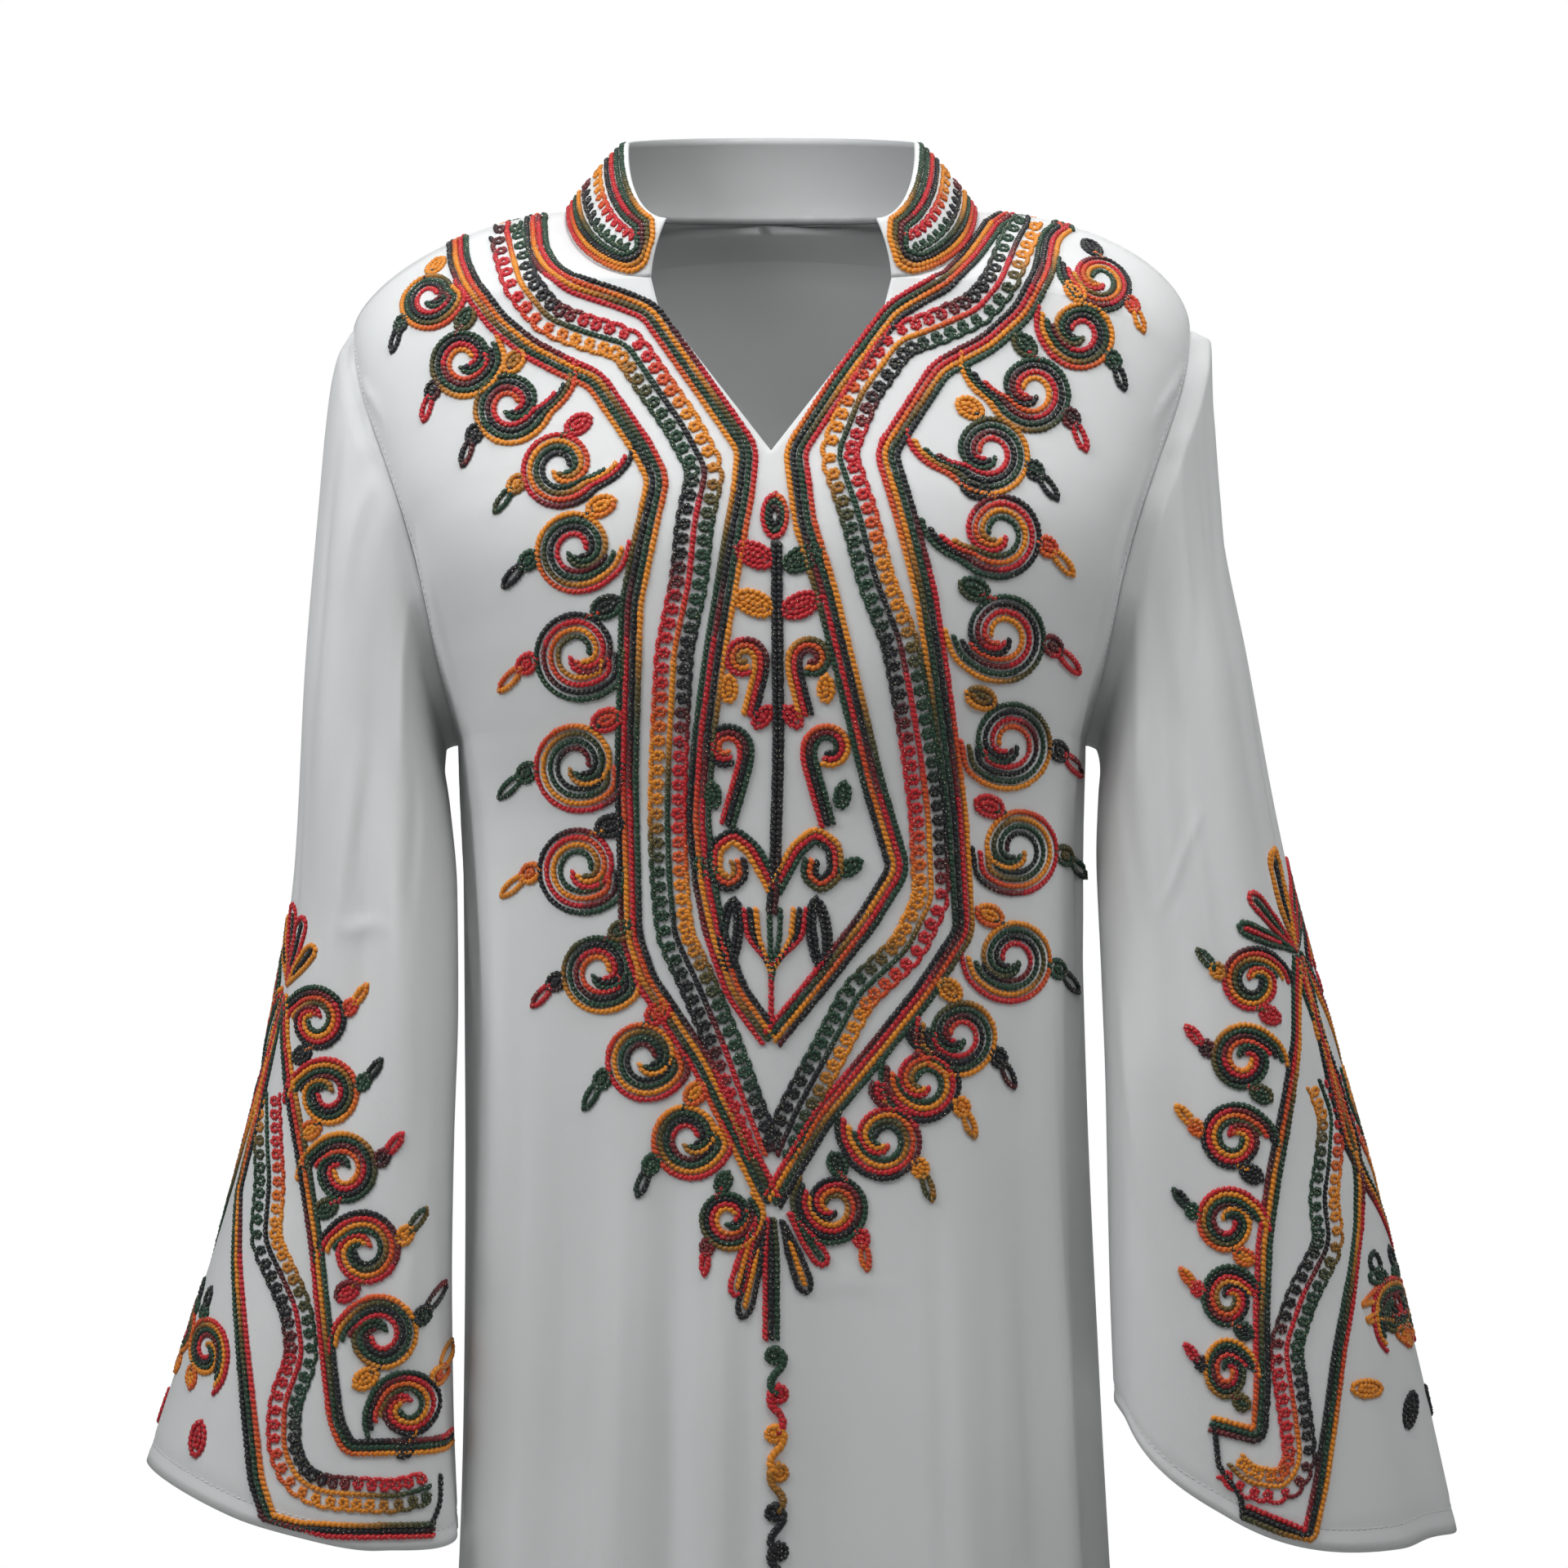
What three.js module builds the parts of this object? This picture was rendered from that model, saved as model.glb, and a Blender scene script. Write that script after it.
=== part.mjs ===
// A long embroidered robe with a stand collar, a slit neck and bell sleeves, hanging as it does when it is worn.
// Millimetres, +Z up, +X to the wearer's left, -Y is the front. The origin lies in the middle of the neck,
// level with the shoulder seams' tops, where the robe rests on the shoulders.
import * as THREE from 'three';
import { mergeVertices } from 'three/addons/utils/BufferGeometryUtils.js';

// Driving dimensions.
const CLOTH = 1.5; // wall of the panels and sleeves
const COLLAR_CLOTH = 2.0; // the collar is cut double
const SEAM_GAP = 0.4; // between two pieces that are sewn together
const NECK_POINT = { x: 117, y: 3, z: 5 }; // where shoulder seam and collar meet
const SLIT_TOP = { x: 66, y: -79, z: -43 }; // the front end of the collar
const SLIT_BEND = { x: 62, y: -84, z: -59 };
const SLIT_FOOT = { x: 0, y: -113, z: -141 }; // on the centre line
const BACK_NECK = { x: 0, y: 66, z: 7 };

// Distances down a panel, measured from the shoulder seam.
const DOWN_SLIT_TOP = 62;
const DOWN_SLIT_BEND = 74;
const DOWN_BACK_NECK = 40;
const DOWN_SLIT_FOOT = 140;
const DOWN_UNDERARM = 262;
const DOWN_HEM = 1375;

// The centre line of the front and of the back: distance down, then depth and height.
const CENTRE_FRONT = [
  { down: 140, y: -113, z: -141 },
  { down: 168, y: -120, z: -166 },
  { down: 198, y: -124, z: -200 },
  { down: 230, y: -124, z: -244 },
  { down: 262, y: -121, z: -290 },
  { down: 345, y: -116, z: -372 },
  { down: 470, y: -114, z: -495 },
  { down: 640, y: -119, z: -662 },
  { down: 850, y: -131, z: -870 },
  { down: 1100, y: -150, z: -1115 },
  { down: 1375, y: -174, z: -1385 },
];
const CENTRE_BACK = [
  { down: 40, y: 66, z: 7 },
  { down: 62, y: 80, z: -13 },
  { down: 85, y: 91, z: -40 },
  { down: 112, y: 99, z: -76 },
  { down: 140, y: 104, z: -112 },
  { down: 168, y: 106, z: -152 },
  { down: 198, y: 104, z: -198 },
  { down: 230, y: 100, z: -246 },
  { down: 262, y: 97, z: -292 },
  { down: 345, y: 94, z: -374 },
  { down: 470, y: 98, z: -497 },
  { down: 640, y: 108, z: -664 },
  { down: 850, y: 124, z: -872 },
  { down: 1100, y: 145, z: -1117 },
  { down: 1375, y: 170, z: -1385 },
];

// The armhole edge and, below the underarm, the side seam.
const FRONT_EDGE = [
  { down: 0, x: 239, y: 8, z: -62 },
  { down: 28, x: 236, y: -16, z: -74 },
  { down: 62, x: 229, y: -40, z: -102 },
  { down: 100, x: 215, y: -58, z: -140 },
  { down: 140, x: 203, y: -66, z: -174 },
  { down: 180, x: 193, y: -64, z: -212 },
  { down: 222, x: 185, y: -44, z: -256 },
  { down: 262, x: 177, y: 4, z: -298 },
];
const BACK_EDGE = [
  { down: 0, x: 239, y: 8, z: -62 },
  { down: 28, x: 236, y: 32, z: -76 },
  { down: 62, x: 229, y: 56, z: -108 },
  { down: 100, x: 217, y: 72, z: -148 },
  { down: 140, x: 206, y: 76, z: -184 },
  { down: 180, x: 195, y: 70, z: -222 },
  { down: 222, x: 186, y: 48, z: -264 },
  { down: 262, x: 177, y: 4, z: -298 },
];
const SIDE_SEAM = [
  { down: 262, x: 177, y: 4, z: -298 },
  { down: 345, x: 175, y: 3, z: -378 },
  { down: 470, x: 176, y: 1, z: -500 },
  { down: 640, x: 180, y: -1, z: -665 },
  { down: 740, x: 184, y: -2, z: -763 },
  { down: 850, x: 191, y: -3, z: -871 },
  { down: 1100, x: 211, y: -4, z: -1115 },
  { down: 1375, x: 237, y: -4, z: -1384 },
];
const SIDE_SWAY = 8; // how far the skirt's sides swing to the wearer's left
const SHOULDER_TILT = 0.15; // squareness that the wearer's left shoulder has more, and the right one less

// How square a cross-section is: 2 is an ellipse, more is flatter in the middle.
const SQUARENESS = [
  { down: 0, power: 1.75 },
  { down: 100, power: 2.1 },
  { down: 222, power: 2.35 },
  { down: 545, power: 2.3 },
  { down: 1375, power: 2.15 },
];

// Folds of the body. `place` runs from -1 at the right side seam over 0 at the centre to 1 at the left one,
// where a fold starts and at the hem; `right` and `left` are its reach to each side; `rise` is its height
// in millimetres at the foot of the photographed part, with a ridge positive and a trough negative.
const FRONT_FOLDS = [
  { start: 230, from: -0.64, hem: -0.80, right: 0.14, left: 0.12, rise: 8 },
  { start: 330, from: -0.46, hem: -0.48, right: 0.12, left: 0.13, rise: -7 },
  { start: 400, from: -0.31, hem: -0.32, right: 0.06, left: 0.13, rise: 9 },
  { start: 300, from: -0.20, hem: -0.21, right: 0.06, left: 0.07, rise: -4 },
  { start: 420, from: -0.10, hem: -0.11, right: 0.10, left: 0.06, rise: 7 },
  { start: 190, from: 0.12, hem: 0.17, right: 0.16, left: 0.20, rise: -8 },
  { start: 420, from: 0.38, hem: 0.40, right: 0.06, left: 0.12, rise: 6 },
  { start: 360, from: 0.52, hem: 0.54, right: 0.08, left: 0.08, rise: -5 },
  { start: 280, from: 0.64, hem: 0.70, right: 0.12, left: 0.06, rise: 10 },
  { start: 300, from: 0.80, hem: 0.84, right: 0.09, left: 0.12, rise: -7 },
];
const BACK_FOLDS = [
  { start: 260, from: -0.78, hem: -0.80, right: 0.12, left: 0.12, rise: 8 },
  { start: 330, from: -0.58, hem: -0.60, right: 0.11, left: 0.12, rise: -8 },
  { start: 240, from: -0.36, hem: -0.40, right: 0.13, left: 0.10, rise: 9 },
  { start: 300, from: -0.16, hem: -0.18, right: 0.12, left: 0.12, rise: -7 },
  { start: 220, from: 0.04, hem: 0.03, right: 0.11, left: 0.13, rise: 8 },
  { start: 320, from: 0.26, hem: 0.28, right: 0.11, left: 0.11, rise: -8 },
  { start: 250, from: 0.46, hem: 0.50, right: 0.10, left: 0.12, rise: 9 },
  { start: 300, from: 0.68, hem: 0.70, right: 0.11, left: 0.10, rise: -7 },
  { start: 270, from: 0.86, hem: 0.88, right: 0.09, left: 0.10, rise: 6 },
];
const FOLD_FULL_AT = 700; // distance down at which `rise` is reached
const FOLD_HEM_SHARE = 1.9; // how much higher a fold is at the hem

// The chest of a general figure carries the front here.
const CHEST = { x: 84, down: 200, reach: 62, rise: 7 };

// Each sleeve by its outer line and its inner one, which lies against the body: a row for each section,
// where `along` runs from the armhole seam to the cuff, `half` is the reach to front and back, and
// `drop` is how much lower the cloth hangs between the two lines, more so near the body.
const SLEEVES = {
  right: [
    { along: 0.00, outerX: 239, outerY: 8, outerZ: -62, innerX: 177, innerY: 4, innerZ: -298, half: 68, drop: 0 },
    { along: 0.04, outerX: 248, outerY: 8, outerZ: -77, innerX: 185, innerY: -1, innerZ: -302, half: 67, drop: 0 },
    { along: 0.09, outerX: 253, outerY: 7, outerZ: -102, innerX: 185, innerY: -10, innerZ: -311, half: 64, drop: 0 },
    { along: 0.20, outerX: 258, outerY: 3, outerZ: -165, innerX: 181, innerY: -27, innerZ: -335, half: 58, drop: 0 },
    { along: 0.34, outerX: 265, outerY: -2, outerZ: -255, innerX: 176, innerY: -38, innerZ: -382, half: 55, drop: 0 },
    { along: 0.50, outerX: 270, outerY: -8, outerZ: -365, innerX: 175, innerY: -44, innerZ: -448, half: 55, drop: 0 },
    { along: 0.64, outerX: 284, outerY: -12, outerZ: -460, innerX: 177, innerY: -47, innerZ: -520, half: 57, drop: 2 },
    { along: 0.76, outerX: 302, outerY: -15, outerZ: -540, innerX: 178, innerY: -49, innerZ: -592, half: 59, drop: 4 },
    { along: 0.88, outerX: 326, outerY: -18, outerZ: -620, innerX: 177, innerY: -51, innerZ: -664, half: 61, drop: 8 },
    { along: 1.00, outerX: 352, outerY: -20, outerZ: -701, innerX: 174, innerY: -55, innerZ: -734, half: 63, drop: 13 },
  ],
  left: [
    { along: 0.00, outerX: 239, outerY: 8, outerZ: -62, innerX: 177, innerY: 4, innerZ: -298, half: 68, drop: 0 },
    { along: 0.04, outerX: 251, outerY: 8, outerZ: -69, innerX: 185, innerY: -1, innerZ: -302, half: 67, drop: 0 },
    { along: 0.09, outerX: 252, outerY: 7, outerZ: -102, innerX: 186, innerY: -10, innerZ: -310, half: 64, drop: 0 },
    { along: 0.20, outerX: 255, outerY: 3, outerZ: -165, innerX: 184, innerY: -27, innerZ: -329, half: 58, drop: 0 },
    { along: 0.34, outerX: 270, outerY: -3, outerZ: -250, innerX: 182, innerY: -38, innerZ: -365, half: 56, drop: 0 },
    { along: 0.50, outerX: 290, outerY: -10, outerZ: -360, innerX: 184, innerY: -46, innerZ: -426, half: 57, drop: 2 },
    { along: 0.64, outerX: 315, outerY: -14, outerZ: -455, innerX: 186, innerY: -50, innerZ: -487, half: 60, drop: 6 },
    { along: 0.76, outerX: 340, outerY: -18, outerZ: -545, innerX: 187, innerY: -52, innerZ: -545, half: 63, drop: 14 },
    { along: 0.88, outerX: 363, outerY: -22, outerZ: -640, innerX: 188, innerY: -56, innerZ: -603, half: 66, drop: 24 },
    { along: 1.00, outerX: 385, outerY: -25, outerZ: -739, innerX: 190, innerY: -60, innerZ: -663, half: 68, drop: 33 },
  ],
};

// Folds along a sleeve. `turn` is the place round the section in degrees, 0 on the outer line and 90 in
// front, where a fold starts and at the cuff; `reach` is its half width in degrees.
const SLEEVE_FOLDS = {
  right: [
    { from: 0.02, to: 0.55, turnFrom: 62, turnTo: 52, reach: 20, rise: 5 },
    { from: 0.04, to: 0.80, turnFrom: 96, turnTo: 86, reach: 20, rise: -5 },
    { from: 0.30, to: 1.00, turnFrom: 100, turnTo: 152, reach: 26, rise: 8 },
    { from: 0.62, to: 1.00, turnFrom: 60, turnTo: 96, reach: 26, rise: -4 },
    { from: 0.10, to: 1.00, turnFrom: 215, turnTo: 210, reach: 26, rise: -6 },
    { from: 0.20, to: 1.00, turnFrom: 262, turnTo: 258, reach: 24, rise: 6 },
    { from: 0.40, to: 1.00, turnFrom: 305, turnTo: 312, reach: 24, rise: -5 },
  ],
  left: [
    { from: 0.01, to: 0.30, turnFrom: 24, turnTo: 28, reach: 12, rise: 5 },
    { from: 0.02, to: 0.70, turnFrom: 92, turnTo: 110, reach: 18, rise: -6 },
    { from: 0.10, to: 0.80, turnFrom: 58, turnTo: 70, reach: 22, rise: 5 },
    { from: 0.45, to: 1.00, turnFrom: 132, turnTo: 140, reach: 26, rise: 7 },
    { from: 0.60, to: 1.00, turnFrom: 40, turnTo: 34, reach: 20, rise: -4 },
    { from: 0.10, to: 1.00, turnFrom: 220, turnTo: 214, reach: 26, rise: -6 },
    { from: 0.25, to: 1.00, turnFrom: 268, turnTo: 262, reach: 24, rise: 6 },
    { from: 0.45, to: 1.00, turnFrom: 312, turnTo: 318, reach: 22, rise: -5 },
  ],
};

// The collar's upper edge: at its front end, at the side of the neck and at the centre back.
const COLLAR_TOP_FRONT = { x: 58, y: -71, z: -9 };
const COLLAR_TOP_SIDE = { x: 82, y: -6, z: 44 };
const COLLAR_TOP_BACK = { x: 0, y: 50, z: 56 };
const COLLAR_BOW = 2.5; // how far the collar bulges outwards between its edges

// How finely the pieces are cut into facets.
const HALF_COLUMNS = 20;
const SLEEVE_ROWS = 17;
const COLLAR_ROWS = 4;
const FRONT_ROWS = [0, 9, 18, 28, 38, 49, 62, 74, 96, 118, 140, 168, 198, 230, 262];
const BACK_ROWS = [0, 7, 14, 21, 28, 34, 40, 62, 85, 112, 140, 168, 198, 230, 262];
const SKIRT_ROWS = [300, 345, 400, 470, 550, 640, 740, 850, 970, 1100, 1235, 1375];

// Smooth curve through a table's column, with no overshoot between its rows.
function tableValue(table, key, name, at) {
  const last = table.length - 1;
  if (at <= table[0][key]) return table[0][name];
  if (at >= table[last][key]) return table[last][name];
  let i = 0;
  while (at > table[i + 1][key]) i += 1;
  const step = (k) => table[k + 1][key] - table[k][key];
  const slope = (k) => (table[k + 1][name] - table[k][name]) / step(k);
  const tangent = (k) => {
    if (k === 0) return slope(0);
    if (k === last) return slope(last - 1);
    const before = slope(k - 1);
    const after = slope(k);
    return before * after <= 0 ? 0 : (2 * before * after) / (before + after);
  };
  const h = step(i);
  const t = (at - table[i][key]) / h;
  const rise = t * t * (3 - 2 * t);
  return table[i][name] * (1 - rise) + table[i + 1][name] * rise
    + h * t * (1 - t) * (tangent(i) * (1 - t) - tangent(i + 1) * t);
}

function smoothStep(low, high, value) {
  const t = Math.min(1, Math.max(0, (value - low) / (high - low)));
  return t * t * (3 - 2 * t);
}

// A soft bump of height 1 at 0 that ends at -1 and 1.
function bump(q) {
  return Math.abs(q) < 1 ? (1 - q * q) ** 2 : 0;
}

function vector(row) {
  return new THREE.Vector3(row.x, row.y, row.z);
}

// The inner edge of half a front: the centre line, the slit's edge, then the neckline up to the shoulder.
function frontInner(down) {
  if (down >= DOWN_SLIT_FOOT) {
    return new THREE.Vector3(
      0, tableValue(CENTRE_FRONT, 'down', 'y', down), tableValue(CENTRE_FRONT, 'down', 'z', down));
  }
  if (down >= DOWN_SLIT_TOP) {
    if (down <= DOWN_SLIT_BEND) {
      return vector(SLIT_TOP).lerp(vector(SLIT_BEND), (down - DOWN_SLIT_TOP) / (DOWN_SLIT_BEND - DOWN_SLIT_TOP));
    }
    return vector(SLIT_BEND).lerp(vector(SLIT_FOOT), (down - DOWN_SLIT_BEND) / (DOWN_SLIT_FOOT - DOWN_SLIT_BEND));
  }
  const turn = (Math.PI / 2) * (1 - down / DOWN_SLIT_TOP);
  return neckline('front', turn);
}

function backInner(down) {
  if (down >= DOWN_BACK_NECK) {
    return new THREE.Vector3(
      0, tableValue(CENTRE_BACK, 'down', 'y', down), tableValue(CENTRE_BACK, 'down', 'z', down));
  }
  return neckline('back', (Math.PI / 2) * (1 - down / DOWN_BACK_NECK));
}

// Half of the neckline: turn 0 is the collar's front end or the centre back, a quarter turn the shoulder.
function neckline(side, turn) {
  const low = side === 'front' ? SLIT_TOP : BACK_NECK;
  return new THREE.Vector3(
    low.x + (NECK_POINT.x - low.x) * Math.sin(turn),
    NECK_POINT.y + (low.y - NECK_POINT.y) * Math.cos(turn),
    NECK_POINT.z + (low.z - NECK_POINT.z) * Math.cos(turn));
}

function outerEdge(side, down) {
  const table = down > DOWN_UNDERARM ? SIDE_SEAM : side === 'front' ? FRONT_EDGE : BACK_EDGE;
  return new THREE.Vector3(...['x', 'y', 'z'].map((name) => tableValue(table, 'down', name, down)));
}

// Half a panel without its folds: `share` runs from 0 at its inner edge to 1 at the side. Each section is
// a rounded arc between them, x by the sine of the share and depth by the matching rounded cosine.
function smoothPanel(side, sign, share, down) {
  const inner = side === 'front' ? frontInner(down) : backInner(down);
  const outer = outerEdge(side, down);
  const tilt = sign * SHOULDER_TILT * (1 - smoothStep(0, DOWN_SLIT_FOOT, down));
  const power = tableValue(SQUARENESS, 'down', 'power', down) + tilt;
  const across = Math.sin(share * Math.PI / 2);
  const inward = Math.max(0, 1 - Math.abs(across) ** power) ** (1 / power);
  const point = new THREE.Vector3(
    inner.x + (outer.x - inner.x) * across,
    outer.y + (inner.y - outer.y) * inward,
    outer.z + (inner.z - outer.z) * inward);
  if (side === 'front') {
    const chest = bump(Math.hypot(point.x - CHEST.x, down - CHEST.down) / (2 * CHEST.reach));
    point.y -= CHEST.rise * chest;
  }
  point.x = sign * point.x + SIDE_SWAY * smoothStep(DOWN_UNDERARM, 800, down) * share * share;
  return point;
}

function bodyFold(side, place, down) {
  let rise = 0;
  for (const fold of side === 'front' ? FRONT_FOLDS : BACK_FOLDS) {
    const share = (down - fold.start) / (DOWN_HEM - fold.start);
    if (share <= 0) continue;
    const centre = fold.from + (fold.hem - fold.from) * share;
    const reach = place < centre ? fold.right : fold.left;
    const grown = smoothStep(fold.start, FOLD_FULL_AT, down)
      * (1 + (FOLD_HEM_SHARE - 1) * smoothStep(FOLD_FULL_AT, DOWN_HEM, down));
    rise += fold.rise * grown * bump((place - centre) / reach);
  }
  // The side seams lie still, so that front and back meet.
  return rise * (1 - smoothStep(0.93, 1, Math.abs(place)));
}

// Half a panel with its folds, moved along the surface's own normal.
function panelPoint(side, sign, share, down) {
  const rise = bodyFold(side, sign * share, down);
  const point = smoothPanel(side, sign, share, down);
  if (Math.abs(rise) < 1e-6) return point;
  const step = Math.min(0.01, share || 0.01);
  const outwards = smoothPanel(side, sign, share + step, down);
  const inwards = share > 0 ? smoothPanel(side, sign, share - step, down) : mirrored(outwards);
  const across = outwards.sub(inwards).multiplyScalar(sign);
  const along = smoothPanel(side, sign, share, down - 1).sub(smoothPanel(side, sign, share, down + 1));
  const normal = across.cross(along).normalize();
  // Towards the hem a fold goes straight out, so that the hem stays level.
  normal.z *= 1 - smoothStep(FOLD_FULL_AT, DOWN_HEM, down);
  return point.addScaledVector(normal.normalize(), side === 'front' ? rise : -rise);
}

function mirrored(point) {
  return new THREE.Vector3(-point.x, point.y, point.z);
}

// Falls steadily along each seam, so that neighbours split their edge strips along the same diagonal.
function seamOrder(point) {
  return point.z + Math.abs(point.x) - point.y / 2;
}

// Collects the facets of a sheet on shared points, so that halves that meet are joined.
class Sheet {
  constructor() {
    this.points = [];
    this.keys = new Map();
    this.facets = [];
  }

  add(point) {
    const key = point.toArray().map((value) => Math.round(value * 1000)).join(' ');
    if (!this.keys.has(key)) {
      this.keys.set(key, this.points.length);
      this.points.push(point.clone());
    }
    return this.keys.get(key);
  }

  // rows of points; flip turns the facets over.
  grid(rows, flip) {
    const index = rows.map((row) => row.map((point) => this.add(point)));
    for (let j = 0; j + 1 < index.length; j += 1) {
      for (let i = 0; i + 1 < index[j].length; i += 1) {
        const [a, b, c, d] = [index[j][i], index[j][i + 1], index[j + 1][i + 1], index[j + 1][i]];
        for (const facet of [[a, b, c], [a, c, d]]) {
          if (new Set(facet).size === 3) this.facets.push(flip ? facet.reverse() : facet);
        }
      }
    }
    return index;
  }

  normals() {
    const sums = this.points.map(() => new THREE.Vector3());
    for (const [a, b, c] of this.facets) {
      const ab = this.points[b].clone().sub(this.points[a]);
      const ac = this.points[c].clone().sub(this.points[a]);
      const normal = ab.cross(ac);
      for (const k of [a, b, c]) sums[k].add(normal);
    }
    return sums.map((sum) => sum.normalize());
  }

  // The closed wall: this sheet outside, the same sheet moved in by the thickness, and the edges between.
  wall(thickness, ways = this.normals()) {
    const count = this.points.length;
    const inner = this.points.map((point, k) => point.clone().addScaledVector(ways[k], -thickness));
    const all = [...this.points, ...inner];
    const facets = [];
    const edges = new Map();
    for (const [a, b, c] of this.facets) {
      facets.push([a, b, c], [a + count, c + count, b + count]);
      for (const [from, to] of [[a, b], [b, c], [c, a]]) edges.set(`${from} ${to}`, [from, to]);
    }
    for (const [from, to] of edges.values()) {
      if (edges.has(`${to} ${from}`)) continue;
      if (seamOrder(all[from]) > seamOrder(all[to])) facets.push([from, from + count, to + count], [from, to + count, to]);
      else facets.push([from, from + count, to], [from + count, to + count, to]);
    }
    const geometry = new THREE.BufferGeometry();
    geometry.setAttribute('position', new THREE.Float32BufferAttribute(all.flatMap((p) => p.toArray()), 3));
    geometry.setIndex(facets.flat());
    return mergeVertices(geometry, 1e-5);
  }
}

// The share across half a panel of each column of points.
const columns = Array.from({ length: HALF_COLUMNS + 1 }, (_, i) => i / HALF_COLUMNS);

function panelRows(side, sign) {
  const downs = [...(side === 'front' ? FRONT_ROWS : BACK_ROWS), ...SKIRT_ROWS];
  return downs.map((down) => columns.map((share) => panelPoint(side, sign, share, down)));
}

// Shoulder and side seams run between front and back: each panel keeps half of the gap there.
function keepSeamGap(rows, way) {
  const half = way * SEAM_GAP / 2;
  for (const point of rows[0]) point.y += half;
  for (const row of rows.slice(1)) row[row.length - 1].y += half;
}

// A panel's edge along a seam: each edge point with the next point inside and the seam's direction there.
function seamEdge(sheet, list) {
  const at = (i) => sheet.points[list[Math.min(list.length - 1, Math.max(0, i))][0]];
  return list.map(([edge, next], i) => ({ edge, next, run: at(i + 1).clone().sub(at(i - 1)) }));
}

function panelSheet(side) {
  const sheet = new Sheet();
  const seam = new Set();
  const armhole = {};
  const neck = {};
  const lastArmhole = FRONT_ROWS.length;
  const lastNeck = side === 'front'
    ? FRONT_ROWS.indexOf(DOWN_SLIT_TOP) + 1
    : BACK_ROWS.indexOf(DOWN_BACK_NECK) + 1;
  for (const [name, sign] of [['right', -1], ['left', 1]]) {
    const rows = panelRows(side, sign);
    keepSeamGap(rows, side === 'front' ? -1 : 1);
    const index = sheet.grid(rows, (sign > 0) === (side === 'front'));
    index[0].forEach((k) => seam.add(k));
    index.slice(lastArmhole - 1).forEach((row) => seam.add(row[row.length - 1]));
    const armholeEdge = index.slice(0, lastArmhole).map((row) => row.slice(-2).reverse());
    // Under the arm the seam meets the side seam, so the next point lies down that one.
    armholeEdge[lastArmhole - 1][1] = index[lastArmhole].at(-1);
    armhole[name] = seamEdge(sheet, armholeEdge);
    neck[name] = seamEdge(sheet, index.slice(0, lastNeck).map((row) => row.slice(0, 2)));
  }
  const ways = sheet.normals();
  for (const k of seam) {
    ways[k].y = 0;
    ways[k].normalize();
  }
  return { sheet, ways, armhole, neck };
}

// A sleeve's section, turn 0 on the outer line and a quarter turn in front.
function sleeveSection(side, along, turn) {
  const at = (name) => tableValue(SLEEVES[side], 'along', name, along);
  const reach = (1 + Math.cos(turn)) / 2;
  const between = (axis) => at(`inner${axis}`) + (at(`outer${axis}`) - at(`inner${axis}`)) * reach;
  const sign = side === 'left' ? 1 : -1;
  return new THREE.Vector3(
    sign * between('X'),
    between('Y') - at('half') * Math.sin(turn),
    between('Z') - at('drop') * Math.sin(turn) ** 2 * (1 - 0.45 * Math.cos(turn)));
}

function sleeveFold(side, along, turn) {
  let rise = 0;
  for (const fold of SLEEVE_FOLDS[side]) {
    const share = (along - fold.from) / (fold.to - fold.from);
    if (share <= 0 || share > 1.0001) continue;
    const centre = THREE.MathUtils.degToRad(fold.turnFrom + (fold.turnTo - fold.turnFrom) * share);
    const apart = Math.abs(THREE.MathUtils.euclideanModulo(turn - centre + Math.PI, 2 * Math.PI) - Math.PI);
    const grown = smoothStep(0, 0.35, share) * (fold.to < 1 ? 1 - smoothStep(0.6, 1, share) : 1);
    rise += fold.rise * grown * bump(apart / THREE.MathUtils.degToRad(fold.reach));
  }
  return rise;
}

// The armhole seam as a loop: down the front edge from the shoulder to the underarm, then up the back.
function armholeLoop(sign) {
  const front = FRONT_ROWS.map((down) => outerEdge('front', down));
  const back = BACK_ROWS.map((down) => outerEdge('back', down)).reverse().slice(1, -1);
  return [...front, ...back].map((point) => new THREE.Vector3(sign * point.x, point.y, point.z));
}

// The turn of each point of the loop, by its share of the way down the front or up the back.
function loopTurns(loop, underarm) {
  const closed = [...loop, loop[0]];
  const lengths = closed.slice(1).map((point, k) => point.distanceTo(closed[k]));
  const sum = (from, to) => lengths.slice(from, to).reduce((a, b) => a + b, 0);
  const down = sum(0, underarm);
  const up = sum(underarm, lengths.length);
  return loop.map((_, k) => (k <= underarm
    ? Math.PI * sum(0, k) / down
    : Math.PI + Math.PI * sum(underarm, k) / up));
}

function sleevePoint(side, along, turn, seamPoint) {
  const base = sleeveSection(side, along, turn);
  const centre = sleeveSection(side, along, 0).add(sleeveSection(side, along, Math.PI)).multiplyScalar(0.5);
  const way = base.clone().sub(centre).normalize();
  base.addScaledVector(way, sleeveFold(side, along, turn));
  // The first part takes the seam's own shape, which fades out down the sleeve.
  const fade = (1 - smoothStep(0, 0.22, along));
  const error = seamPoint.clone().sub(sleeveSection(side, 0, turn));
  return base.addScaledVector(error, fade);
}

function sleeveSheet(side) {
  const sign = side === 'left' ? 1 : -1;
  const loop = armholeLoop(sign);
  const turns = loopTurns(loop, FRONT_ROWS.length - 1);
  const rows = [];
  for (let j = 0; j <= SLEEVE_ROWS; j += 1) {
    const along = (j / SLEEVE_ROWS) ** 1.15;
    const row = loop.map((seamPoint, k) => sleevePoint(side, along, turns[k], seamPoint));
    rows.push([...row, row[0].clone()]);
  }
  const sheet = new Sheet();
  const index = sheet.grid(rows, side === 'right');
  return { sheet, ways: sheet.normals(), seam: index[0] };
}

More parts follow.
